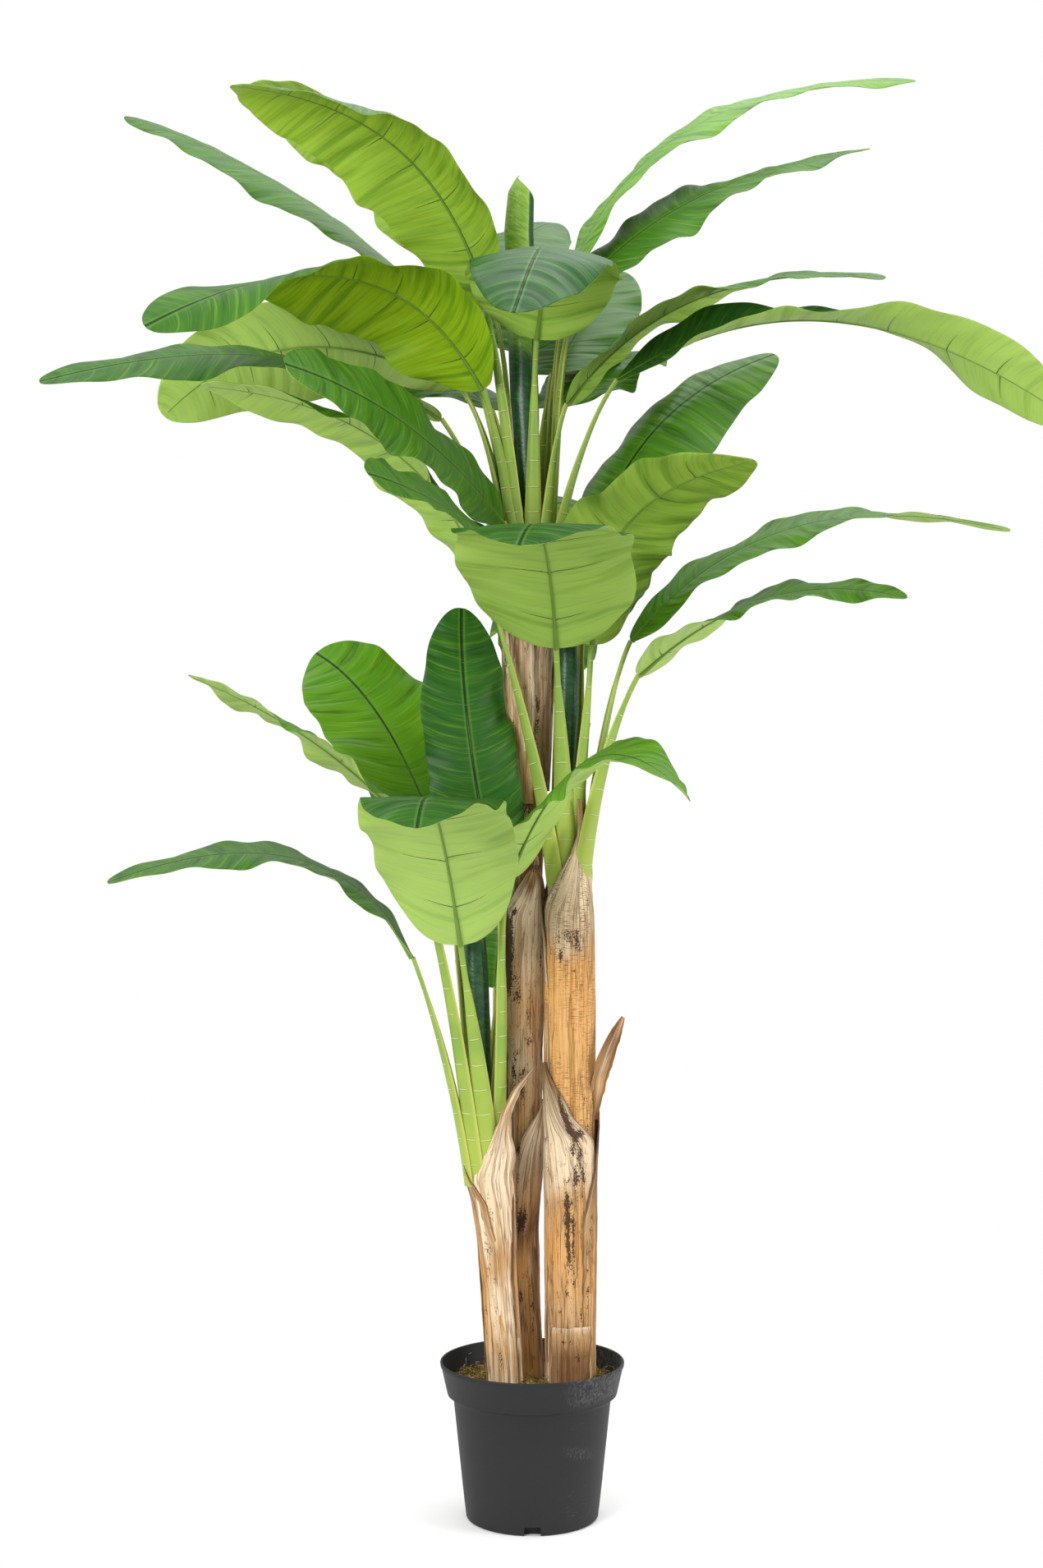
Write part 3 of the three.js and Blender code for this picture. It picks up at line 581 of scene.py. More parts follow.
# ---- Dry sheaths ---------------------------------------------------------------------------------
# Dry sheaths are wrapped round each stem and end in torn points that stand off it. Each has its
# stations, from foot to tip: height, centre of the arc, its radius, the direction it faces and how
# far it reaches to either side; then its colours by height and its blots.
WRAPS = {
    "wrap_lower_back": (
        "stem_lower",
        ((216, -44, -32, 26.5, 80, 120), (450, -58, -30, 29.5, 80, 120), (540, -66, -30, 33, 85, 90),
         (585, -68, -24, 34, 88, 40), (620, -72, -20, 30, 90, 3)),
        ((0.22, ORANGE), (0.5, TAN), (0.62, BROWN)), ((60, 420, 30, 50, 0.6), (120, 300, 25, 40, 0.5)),
         0.3, 0.0, 0.3),
    "wrap_lower_right": (
        "stem_lower",
        ((300, -47, -32, 27, 20, 60), (400, -54, -31, 28, 20, 60), (520, -63, -30, 35, 20, 50),
         (560, -64, -30, 34, 18, 34), (600, -60, -28, 28, 15, 14), (640, -56, -26, 22, 12, 3)),
        ((0.3, TAN), (0.5, BROWN), (0.64, TAN)), ((20, 560, 20, 40, 0.5),), 0.4, 0.0, 0.2),
    "wrap_lower_left": (
        "stem_lower",
        ((216, -44, -32, 27, 205, 80), (380, -54, -31, 26.5, 205, 78), (450, -58, -30, 30, 202, 72),
         (520, -64, -30, 34.5, 196, 56), (555, -72, -31, 36.5, 192, 32), (586, -77, -31, 36, 190, 3)),
        ((0.22, CREAM), (0.32, ORANGE), (0.5, TAN), (0.59, BROWN)),
        ((190, 590, 30, 30, 0.9), (235, 480, 10, 40, 0.5), (215, 330, 12, 50, 0.35)), 0.3, 0.0, 0.4),
    "sheath_lower_front": (
        "stem_lower",
        ((216, -44, -32, 28, 292, 60), (290, -47, -32, 27, 292, 58), (380, -54, -31, 27, 290, 58),
         (450, -58, -30, 30.5, 288, 62), (520, -63, -30, 34.5, 284, 62), (559, -66, -31, 35.5, 278, 59),
         (598, -54, -38, 30, 272, 58), (631, -49, -46, 20, 270, 40), (668, -41, -52, 14, 268, 32),
         (704, -23, -52, 10, 266, 36), (740, 6, -48, 7, 265, 12)),
        ((0.22, CREAM), (0.27, TAN), (0.33, CREAM), (0.42, TAN), (0.50, CREAM), (0.60, CREAM),
         (0.66, TAN), (0.74, TAN)),
        ((262, 500, 7, 26, 0.5), (240, 455, 8, 45, 0.5), (252, 380, 7, 60, 0.42),
         (258, 270, 9, 30, 0.45)),
        0.2, 0.0, 0.7),
    "wrap_upper_back": (
        "stem_upper",
        ((216, -10, 35, 25, 90, 120), (455, -18, 35, 26, 90, 120), (700, -14, 35, 27, 90, 120),
         (900, -13, 36, 34.5, 92, 90),
         (960, -13, 37, 36, 95, 50), (1010, -13, 40, 38, 98, 3)),
        ((0.22, TAN), (0.6, BROWN), (1.01, TAN)), ((70, 500, 30, 80, 0.6), (120, 800, 30, 60, 0.5)),
         0.5, 0.0, 0.2),
    "wrap_upper_tent": (
        "stem_upper",
        ((560, -16, 35, 27.5, 268, 96), (740, -13, 35, 29, 270, 94), (860, -13, 36, 34, 272, 92),
         (977, -12, 34, 38, 272, 80), (1010, -10, 32, 36, 283, 49), (1037, -4, 26, 30, 284, 34),
         (1074, 3, 8, 14, 285, 6)),
        ((0.56, TAN), (0.66, TAN), (0.74, GREIGE), (0.84, TAN), (0.92, GREIGE), (1.0, CREAM),
         (1.05, BROWN), (1.08, TAN)),
        ((222, 960, 18, 26, 1.2), (224, 915, 16, 30, 1.2), (220, 868, 13, 26, 1.1),
         (245, 985, 6, 9, 0.9),
         (318, 900, 6, 30, 0.7), (290, 1055, 60, 12, 0.6), (262, 700, 20, 40, 0.6),
         (235, 740, 10, 60, 0.5), (250, 860, 16, 50, 0.45), (285, 800, 12, 60, 0.4)),
        0.7, 0.0, 0.25),
    "sheath_upper_front": (
        "stem_upper",
        ((216, -9, 35, 26.5, 276, 84), (330, -14, 35, 26.5, 276, 84), (455, -18, 35, 27, 278, 78),
         (540, -14, 33, 30, 282, 64), (595, -7, 28, 28.5, 282, 52), (625, 0, 22, 26, 284, 38),
         (650, 8, 14, 20, 286, 24), (678, 14, 4, 14, 290, 5)),
        ((0.22, ORANGE), (0.34, TAN), (0.42, ORANGE), (0.48, BROWN), (0.52, TAN), (0.58, GREIGE),
         (0.64, CREAM), (0.68, TAN)),
        ((268, 478, 20, 24, 0.95), (236, 596, 9, 10, 0.9), (262, 360, 12, 20, 0.6),
         (300, 330, 10, 60, 0.45),
         (250, 540, 8, 30, 0.4)), 0.6, 0.0, 0.2),
    "wrap_crown_front": (
        "stem_upper",
        ((1180, -10, 36, 37.5, 300, 70), (1380, -6, 31, 41, 300, 70), (1440, -3, 25, 43, 300, 60),
         (1490, 2, 20, 42, 300, 38), (1545, 8, 12, 36, 300, 3)),
        ((1.18, TAN), (1.4, GREIGE), (1.5, TAN), (1.55, BROWN)), ((290, 1300, 20, 50, 0.6),),
         0.5, 0.0, 0.5),
    "wrap_crown_right": (
        "stem_upper",
        ((1200, -10, 36, 37, 50, 70), (1380, -6, 31, 41, 50, 70), (1450, -3, 25, 43, 55, 56),
         (1500, 2, 22, 42, 60, 34), (1560, 6, 24, 38, 62, 3)),
        ((1.2, TAN), (1.4, BROWN), (1.56, TAN)), ((50, 1350, 25, 50, 0.6),), 0.5, 0.0, 0.3),
    "wrap_crown_back": (
        "stem_upper",
        ((1190, -10, 36, 36.5, 150, 70), (1380, -6, 31, 40.5, 150, 70), (1450, -3, 25, 42.5, 150, 52),
         (1490, -2, 24, 42, 148, 34), (1530, -4, 24, 40, 146, 3)),
        ((1.19, BROWN), (1.4, TAN), (1.53, BROWN)), ((160, 1300, 25, 40, 0.6),), 0.5, 0.0, 0.3),
    "sheath_upper_top": (
        "stem_upper",
        ((1160, -10, 36, 38, 225, 64), (1320, -8, 33, 41, 225, 64), (1420, -5, 27, 43, 225, 56),
         (1465, -10, 20, 43, 225, 36), (1500, -20, 12, 41, 225, 3)),
        ((1.16, TAN), (1.36, GREIGE), (1.5, BROWN)), ((235, 1260, 16, 40, 0.6),
         (215, 1400, 16, 30, 0.6)), 0.5, 0.0, 0.5),
    "wrap_middle_back": (
        "stem_middle",
        ((216, 61, -12, 39, 90, 120), (700, 62, -12, 39.5, 90, 120), (960, 60, -11, 40, 92, 100),
         (1010, 58, -8, 41, 95, 60), (1060, 55, -2, 38, 98, 30), (1110, 52, 0, 34, 100, 3)),
        ((0.22, TAN), (0.7, ORANGE), (0.95, GREIGE), (1.11, BROWN)),
        ((70, 700, 30, 80, 0.5), (110, 420, 30, 60, 0.6), (90, 960, 30, 40, 0.6)), 0.4, 0.3, 0.3),
    "sheath_middle_top": (
        "stem_middle",
        ((560, 62, -12, 40, 300, 118), (860, 61, -12, 40.5, 302, 118), (985, 60, -11, 40, 305, 120),
         (1027, 58, -12, 38, 305, 75), (1059, 59, -14, 36, 305, 51), (1080, 62, -18, 30, 304, 36),
         (1093, 65, -24, 22, 302, 26), (1112, 74, -36, 11, 295, 30), (1142, 74, -40, 8.5, 290, 32),
         (1168, 73, -41, 7, 285, 22)),
        ((0.56, TAN), (0.66, ORANGE), (0.74, ORANGE), (0.90, ORANGE), (0.95, GREIGE), (0.99, GREIGE),
         (1.03, CREAM),
         (1.09, GREIGE), (1.13, TAN), (1.17, TAN)),
        ((262, 948, 22, 14, 0.62), (285, 938, 7, 22, 0.85), (248, 915, 8, 12, 0.75),
         (226, 925, 8, 20, 0.6),
         (318, 640, 20, 10, 0.5), (300, 690, 9, 9, 0.5), (335, 700, 9, 30, 0.5),
         (268, 1035, 70, 2.5, 0.3)),
        0.3, 0.9, 0.1),
    "wrap_middle_left": (
        "stem_middle",
        ((216, 62, -12, 40, 166, 50), (600, 63, -12, 40.5, 165, 50), (860, 62, -12, 41, 164, 50),
         (930, 60, -11, 41, 164, 44), (985, 57, -10, 41, 170, 26), (1040, 54, -8, 40, 178, 3)),
        ((0.22, GREIGE), (0.5, CREAM), (0.75, GREIGE), (0.95, GREIGE), (1.04, BROWN)),
        ((200, 620, 20, 8, 0.8), (205, 560, 12, 8, 0.7), (190, 900, 18, 14, 0.5)), 0.3, 0.0, 0.5),
    "sheath_middle_front": (
        "stem_middle",
        ((216, 62, -12, 40, 264, 74), (310, 63, -12, 40.5, 264, 75), (400, 63, -12, 40, 264, 76),
         (520, 63, -12, 40.5, 261, 79), (600, 62, -12, 42.5, 256, 82), (621, 62, -12, 42.5, 250, 78),
         (634, 61, -12, 42.5, 240, 64), (654, 60, -12, 42.5, 228, 51), (687, 60, -12, 42, 217, 40),
         (713, 58, -13, 41, 207, 26), (742, 54, -16, 38, 204, 6)),
        ((0.22, TAN), (0.28, TAN), (0.34, TAN), (0.44, ORANGE), (0.52, TAN), (0.58, CREAM),
         (0.64, CREAM),
         (0.69, GREIGE), (0.74, BROWN)),
        ((247, 686, 4, 13, 1.0), (254, 669, 5, 14, 1.1), (262, 653, 6, 13, 1.1), (270, 638, 8, 11, 1.1),
         (280, 625, 10, 9, 1.0), (292, 631, 7, 6, 0.8), (275, 603, 6, 11, 0.8), (289, 594, 5, 17, 0.75),
         (262, 455, 3.6, 62, 1.0), (273, 430, 3.2, 48, 1.0), (279, 560, 7, 24, 0.66),
         (297, 568, 6, 34, 0.7),
         (258, 520, 5, 24, 0.7), (270, 500, 24, 70, 0.35), (205, 618, 10, 6, 0.8),
         (208, 575, 8, 10, 0.6), (290, 335, 9, 14, 0.45),
         (245, 345, 12, 7, 0.4), (262, 372, 12, 6, 0.4)), 0.62, 0.12, 0.15),
    "wrap_middle_right": (
        "stem_middle",
        ((216, 61, -12, 41.5, 345, 50), (400, 62, -12, 41.5, 350, 52), (489, 62, -12, 42, 350, 54),
         (530, 62, -12, 42.5, 355, 44), (564, 62, -12, 43, 0, 31), (610, 62, -12, 45, 4, 34),
         (650, 62, -12, 46.5, 5, 28), (700, 62, -12, 43, 5, 3)),
        ((0.22, TAN), (0.3, ORANGE), (0.42, TAN), (0.56, BROWN), (0.70, BROWN)),
        ((0, 620, 30, 30, 1.1), (320, 470, 8, 40, 0.5), (310, 380, 7, 50, 0.55),
         (318, 300, 8, 40, 0.4)), 0.5, 0.0, 0.3),
    "wrap_middle_foot": (
        "stem_middle",
        ((216, 61, -12, 43.5, 270, 44), (290, 62, -12, 44, 270, 45), (312, 62, -12, 44.5, 270, 45),
         (318, 62, -12, 45.5, 270, 44)),
        ((0.22, BROWN), (0.27, BROWN), (0.305, TAN), (0.318, CREAM)), ((255, 296, 20, 5, 0.5),
         (285, 270, 14, 10, 0.45)), 0.6, 0.0, 0.1),
}
SHEATH_THICKNESS, SHEATH_ROWS, SHEATH_COLUMNS = 1.8, 116, 27


def two_sided(rows_of_points, outs, thickness):
    """A closed thin sheet from a grid of points, rows x columns: the top side from the left margin to
    the right, then the under side back, each half the thickness off, with the margins rounded."""
    shift = outs * thickness / 2
    shift[:, [0, -1]] *= 0.25
    return np.concatenate([(rows_of_points + shift)[:, ::-1], rows_of_points - shift], axis=1)


def wrapped(stations, blots):
    """A sheath on a grid of height and turn. Each row is an arc between its stations; the margins are
    torn, lift off the stem and curl, and the sheet has soft folds along its fibres. The map keeps
    the width of the widest row, so that the fibres run together into the tip."""
    knots = np.array(stations, float).T
    share = (knots[0] - knots[0, 0]) / np.ptp(knots[0])
    height = np.interp(np.linspace(0, 1, SHEATH_ROWS) ** 0.9, share, knots[0])
    knots[4:] = np.unwrap(np.radians(knots[4])), np.radians(knots[5])
    x, y, radius, facing, half = (v[:, None] for v in smoothed(
        (np.interp(height, knots[0], knot) for knot in knots[1:]), 3))
    u = np.concatenate([[-1], np.linspace(-0.98, 0.98, SHEATH_COLUMNS), [1]])[None]
    along = np.linspace(0, 0.999, SHEATH_ROWS)[:, None]
    level = height[:, None]
    tall = np.ptp(height)
    torn = lattice_noise((u > 0) * 0.5, along, 2, max(6, int(tall / 11))) \
        + 0.6 * lattice_noise((u > 0) * 0.5, along, 2, max(6, int(tall / 37)))
    angle = facing + u * half + torn * np.abs(u) ** 5 * np.sign(u) * 1.1 / radius
    flat = (u + 1) / 2.01 + 0 * along
    folds = 1.1 * lattice_noise(flat, along, 9, max(3, int(tall / 80))) \
        + 0.5 * lattice_noise(flat, along, 23, max(3, int(tall / 45))) \
        + 0.35 * lattice_noise(flat, along, 29, max(6, int(tall / 12)))
    lift = np.abs(u) ** 4 * (1.6 + 1.2 * lattice_noise((u > 0) * 0.5, along, 2, max(4, int(tall / 60))))
    reach = radius + folds * np.minimum(1, radius / 25) + lift * np.minimum(1, half * 2)
    out = np.stack(np.broadcast_arrays(np.cos(angle), np.sin(angle), 0 * level), axis=-1)
    grid = np.stack([x + reach * np.cos(angle), y + reach * np.sin(angle), level + 0 * angle], axis=-1)
    grid[-1, :, 2] += 2.5 * torn[-1]
    points = two_sided(grid, out.copy(), SHEATH_THICKNESS)[None]
    wide = half.max() * radius[0] * 0.001
    both = np.concatenate([u[:, ::-1], u, u[:, -1:]], axis=1) * wide
    spots = paired(both + facing[0], level * 0.001)[None]
    edge = np.clip((np.abs(u) - 0.93) / 0.06, 0, 1) + 0 * along
    soot, edge = (np.concatenate([v[:, ::-1], v], axis=1).ravel() for v in (sooty(angle, level, blots), edge))
    return surface(points, spots), soot, edge


for name, (owner, stations, colours, blots, *looks) in WRAPS.items():
    skin, soot, edge = wrapped(stations, blots)
    build("dry_" + name, [skin], [material("dry_" + name, bark(colours, *looks), Specular_IOR_Level=0.2)],
          "dry_sheath", [name if name.startswith("sheath") else owner], soot=soot, edge=edge)

# ---- Side bract ----------------------------------------------------------------------------------
# A short stiff sheath that has sprung away from the middle stem, cupped along its length.
SIDE_BRACT = ((101, -22, 648), (110, -28, 730), (146, -34, 816))
BRACT_FACING, BRACT_WIDTH, BRACT_ROWS, BRACT_COLUMNS = 290, 36, 60, 23


def curve(points, share):
    """Place and direction at shares of the parabola through three points, at 0, a half and 1."""
    a, b, c = (np.array(point, float) for point in points)
    t = share[:, None]
    place = a * (1 - t) * (1 - 2 * t) + 4 * b * t * (1 - t) + c * t * (2 * t - 1)
    run = a * (4 * t - 3) + b * (4 - 8 * t) + c * (4 * t - 1)
    return place, run / np.linalg.norm(run, axis=1, keepdims=True)


def frames(run, facing, roll):
    """The across and out directions along a run: across points left of the facing direction, square
    to the run, turned by roll about it; out is square to both."""
    left = np.stack([-np.sin(facing), np.cos(facing), np.zeros_like(facing)], axis=-1)
    left = left - run * (left * run).sum(axis=1, keepdims=True)
    left /= np.linalg.norm(left, axis=1, keepdims=True)
    top = np.cross(run, left)
    across = left * np.cos(roll)[:, None] + top * np.sin(roll)[:, None]
    return across, np.cross(run, across)


bract_share = np.linspace(0, 1, BRACT_ROWS)
bract_across = np.concatenate([[-1], np.linspace(-0.97, 0.97, BRACT_COLUMNS - 2), [1]])[None]
centre, run = curve(SIDE_BRACT, bract_share)
side, out = frames(run, np.full(BRACT_ROWS, np.radians(BRACT_FACING)), np.full(BRACT_ROWS, np.pi))
bract_half = BRACT_WIDTH / 2 * np.interp(bract_share, (0, 0.3, 0.6, 0.88, 1), (0.3, 0.8, 1, 0.66, 0.2))
bract_along = bract_share[:, None] * 0.99
bract_half = bract_half[:, None] * (1 + 0.07 * lattice_noise((bract_across > 0) * 0.5, bract_along, 2, 20))
cup = np.abs(bract_across) ** 1.3 * 0.5 + 0.04 * lattice_noise((bract_across + 1) / 2.01, bract_along, 11, 5)
grid = centre[:, None] + side[:, None] * (bract_half * bract_across * 0.85)[..., None] \
    + out[:, None] * (bract_half * cup)[..., None]
bract_points = two_sided(grid, np.repeat(out[:, None], BRACT_COLUMNS, axis=1), 2.2)[None]
bract_spots = paired(np.linspace(0, 0.08, 2 * BRACT_COLUMNS + 1), grid[:, :1, 2] * 0.001)[None]
bract_tone = bark(((0.64, BROWN), (0.7, TAN), (0.78, BROWN), (0.82, TAN)), 0.2, 0.0, 0.35)
build("dry_sheath_middle_side", [surface(bract_points, bract_spots)],
      [material("dry_sheath_middle_side", bract_tone, Specular_IOR_Level=0.2)], "dry_sheath",
      ["sheath_middle_side"], soot=0.0, edge=0.0)

# ---- Leaves --------------------------------------------------------------------------------------
# Each leaf is printed fabric laid on a moulded stalk: a sheath that clasps the crown, a channelled
# stalk, a midrib under the blade with pairs of short side ribs, and a blade whose margins wave.
RINGS = ((20, 19), (28, 22), (36, 24), (44, 26))
CROWNS = {"upper": (0, 20, 1492), "middle": (56, -10, 1042), "lower": (-70, -30, 560)}
# ring, turn and heading; neck, middle and tip as reach, height and sideways; width, roll at the
# three, arch and wave; then how yellow the top side is and how much painted backlight the under side has
LEAVES = {
    "upper": (
        (0, 215, 215, (102, 511, 0), (270, 707, 0), (551, 748, 0), 195, (26, 25, -8), 30, 9, 0.3, 0.8),
        (0, 155, 170, (66, 486, 0), (262, 748, 0), (500, 849, 0), 200, (33, 33, 18), 14, 9, 0.4, 0.6),
        (1, 150, 152, (140, 458, 0), (450, 715, 0), (828, 908, 0), 170, (10, -2, -12), 15, 8, 0.3, 0.5),
        (1, 200, 205, (88, 340, 0), (316, 500, 0), (650, 395, 0), 215, (18, 20, -58), 14, 10, 0.25, 1.0),
        (2, 168, 165, (123, 355, 0), (412, 437, 0), (652, 330, 0), 195, (-5, 45, 62), 10, 8, 0.4, 0.35),
        (3, 188, 188, (150, 295, 0), (426, 391, 0), (792, 340, 0), 165, (4, -20, -35), 8, 8, 0.2, 0.5),
        (2, 229, 224, (64, 124, 0), (273, 260, 0), (512, 323, 0), 165, (-58, -56, -58), 1, 8, 0.35, 0.4),
        (3, 270, 245, (48, 66, 0), (322, 122, 0), (556, 140, 0), 125, (-36, -40, -49), -5, 6, 0.3, 0.4),
        (0, 275, 270, (45, 420, 7), (210, 530, 16), (430, 384, -29), 240, (0, 0, 0), 14, 9, 0.0, 0.5),
        (0, 35, 32, (68, 528, 0), (330, 830, 0), (827, 989, 0), 155, (-18, 3, 22), 6, 8, 0.95, 0.6),
        (1, 8, 14, (80, 511, 0), (286, 680, 0), (591, 780, 0), 180, (28, 20, 10), 4, 9, 0.3, 0.5),
        (1, 68, 70, (100, 388, 0), (250, 499, 0), (450, 634, 0), 190, (0, 0, 0), 12, 8, 0.3, 0.8),
        (1, 318, 354, (57, 322, 0), (271, 492, 0), (573, 517, 0), 180, (-4, 4, 25), 3, 8, 0.3, 0.5),
        (2, 338, 342, (145, 355, 0), (495, 430, 0), (869, 248, 0), 175, (28, 8, -72), -12, 8, 0.0, 0.3),
        (0, 95, 97, (70, 423, 0), (230, 613, 0), (500, 745, -100), 190, (0, 0, 0), 14, 8, 0.2, 0.5),
        (2, 127, 125, (120, 330, 0), (340, 430, 0), (560, 400, 0), 190, (0, 0, 0), 14, 9, 0.3, 0.5),
        (2, 36, 57, (90, 330, 0), (220, 430, 0), (420, 470, 0), 190, (0, 0, 0), 14, 9, 0.3, 0.5),
        (2, 85, 88, (100, 170, 0), (300, 190, 0), (520, 60, 0), 190, (0, 0, 0), 14, 9, 0.3, 0.5)),
    "middle": (
        (2, 212, 190, (120, 440, 0), (285, 688, 0), (590, 780, 0), 190, (5, 7, 5), 14, 9, 0.3, 0.4),
        (1, 264, 264, (70, 367, -11), (290, 523, -12), (470, 490, -28), 268, (0, 0, 0), 4, 6, 0.1, 0.35),
        (0, 50, 39, (36, 430, 0), (164, 716, 0), (478, 905, 0), 190, (24, 28, 30), 34, 9, 0.45, 0.9),
        (0, 310, 322, (50, 374, 0), (122, 566, 0), (358, 645, 0), 210, (-8, -18, -11), 0, 9, 0.55, 0.6),
        (2, 5, -8, (105, 382, 0), (366, 562, 0), (707, 551, 0), 170, (20, 18, -6), 2, 8, 0.5, 0.3),
        (3, 325, 340, (123, 325, 0), (328, 443, 0), (554, 437, 0), 160, (-12, 15, 14), 0, 8, 0.4, 0.2),
        (2, 58, 66, (60, 390, 0), (180, 540, 0), (400, 570, 0), 180, (0, 0, 0), 14, 9, 0.3, 0.5),
        (2, 102, 99, (110, 330, 0), (240, 440, 0), (430, 440, 0), 180, (0, 0, 0), 14, 9, 0.3, 0.5)),
    "lower": (
        (1, 262, 264, (80, 377, -36), (280, 594, -48), (470, 570, -46), 225, (0, 0, 0), 4, 9, 0.1, 0.2),
        (2, 212, 202, (162, 592, 0), (311, 711, 0), (494, 799, 0), 170, (-3, -3, -2), 5, 8, 0.7, 0.35),
        (1, 140, 140, (99, 516, 0), (233, 735, 0), (395, 858, 0), 220, (-6, -22, -45), 0, 8, 0.85, 0.4),
        (0, 60, 104, (-8, 450, -13), (-8, 710, 34), (60, 920, 32), 150, (0, 0, 0), 8, 8, 0.1, 0.4),
        (0, 325, 305, (55, 480, 0), (268, 668, 0), (509, 613, 0), 170, (7, 29, -45), 8, 9, 0.7, 0.2),
        (3, 182, 190, (124, 353, 0), (312, 514, 0), (607, 477, 0), 150, (-8, -10, -16), 2, 7, 0.3, 0.4),
        (3, 72, 86, (140, 290, 0), (280, 400, 0), (450, 380, 0), 150, (0, 0, 0), 14, 8, 0.3, 0.5),
        (2, 104, 106, (64, 420, 0), (200, 560, 0), (420, 640, 0), 170, (0, 0, 0), 14, 8, 0.3, 0.5)),
}
STALK_WIDTH, CLEARANCE, WAVES, WAVE_PHASE = 11, 0.4, 2.2, 1.3
ROOT_TUCK, ROOT_DEPTH = 0.74, 16
STALK_UPRIGHT, STALK_SPREAD, STALK_ENTRY = 0.4, 0.05, 0.22
LOBE_END, TAPER_START, TAPER_POWER, TIP_POWER = 0.3, 0.4, 2.6, 0.6
BLADE_THICKNESS = 1.3
BLADE_ROWS, BLADE_COLUMNS, STALK_ROWS, RIB_GAP, RIB_REACH = 120, 23, 64, 82, 0.62


def blade_outline(t):
    """Half-width share: a round lobe at the neck, a long taper and a blunt tip."""
    lobe = np.where(t < LOBE_END, np.sqrt(np.maximum(0, 1 - (1 - t / LOBE_END) ** 2)), 1)
    past = np.clip((t - TAPER_START) / (1 - TAPER_START), 0, 1)
    return lobe * (1 - past ** TAPER_POWER) ** TIP_POWER


def sweep(away, half):
    """How far along the blade a side vein has run when it is so far from the midrib."""
    return 0.10 * away + 0.30 * away ** 2 / half


class Blade:
    """A leaf's blade as a function of t along it and u across it, each from the source's formula:
    a parabola through neck, middle and tip carries a chord that is rolled, arched and waved."""

    def __init__(self, crown, row, phase):
        (self.ring, turn, heading, neck, middle, tip, self.width, self.roll, self.arch, self.wave) = row[:10]
        self.crown, self.phase = np.array(crown, float), phase
        self.turn, self.heading = np.radians(turn), np.radians(heading)
        ahead = np.array([np.cos(self.heading), np.sin(self.heading), 0])
        left = np.array([-np.sin(self.heading), np.cos(self.heading), 0])
        self.points = [self.crown + ahead * reach + left * sideways + np.array([0, 0, height])
                       for reach, height, sideways in (neck, middle, tip)]
        self.length = sum(np.linalg.norm(b - a) for a, b in zip(self.points, self.points[1:]))

    def at(self, t, u):
        """Points and out directions for equal arrays of t and u, rows x columns, with one t a row."""
        along = t.ravel()
        centre, run = curve(self.points, along)
        a, b, c = np.radians(self.roll)
        roll = a * (1 - along) * (1 - 2 * along) + 4 * b * along * (1 - along) + c * along * (2 * along - 1)
        across, out = frames(run, np.full(along.shape, self.heading), roll)
        centre, across, out = (v.reshape(*t.shape, 3) for v in (centre, across, out))
        uneven = np.sin(2 * np.pi * 3.1 * t + 1.7 * self.phase + 1.9 * np.sign(u)) * np.sin(np.pi * t)
        share = blade_outline(t) * (1 + 0.045 * uneven)
        half = STALK_WIDTH / 2 + (self.width / 2 - STALK_WIDTH / 2) * share
        arch = np.radians(self.arch) * share
        ripple = self.wave * share * u ** 2 * np.sin(2 * np.pi * WAVES * t + self.phase + u)
        ripple += 0.55 * self.wave * share * np.abs(u) ** 2.5 * np.sin(
            2 * np.pi * 4.7 * t + 2.1 * self.phase + 2.4 * np.sign(u))
        ripple += 0.22 * self.wave * share * np.abs(u) * np.sin(
            2 * np.pi * 8.9 * t + 3.3 * self.phase - 9 * np.abs(u))
        groove = -2.2 * np.exp(-(u * half / 7) ** 2) * share
        lift = ripple - half * np.sin(arch) * u ** 2 + groove
        return centre + across * (half * u * np.cos(arch))[..., None] + out * lift[..., None], out, half


def blade_skin(blade):
    """The blade's closed thin sheet, with the margins finely stepped so that they stay crisp. The
    map has metres along a side vein's foot and metres from the midrib."""
    t = (1 - np.cos(np.linspace(0, np.pi, BLADE_ROWS))) / 2 * 0.35 + np.linspace(0, 1, BLADE_ROWS) * 0.65
    across = np.concatenate([[-1], np.linspace(-0.985, 0.985, BLADE_COLUMNS), [1]])
    t, u = np.meshgrid(t, across, indexing="ij")
    grid, out, half = blade.at(t, u)
    sheet = two_sided(grid, out.copy(), BLADE_THICKNESS)
    away = np.abs(u) * half
    spots = np.stack([t * blade.length - sweep(away, half), u * half], axis=-1) * 0.001
    spots = np.concatenate([spots[:, ::-1], spots, spots[:, -1:]], axis=1)
    columns = sheet.shape[1]
    paint = np.where(np.arange(columns) < columns // 2, 0, 1)
    return surface(sheet[None], spots[None], paint=paint)


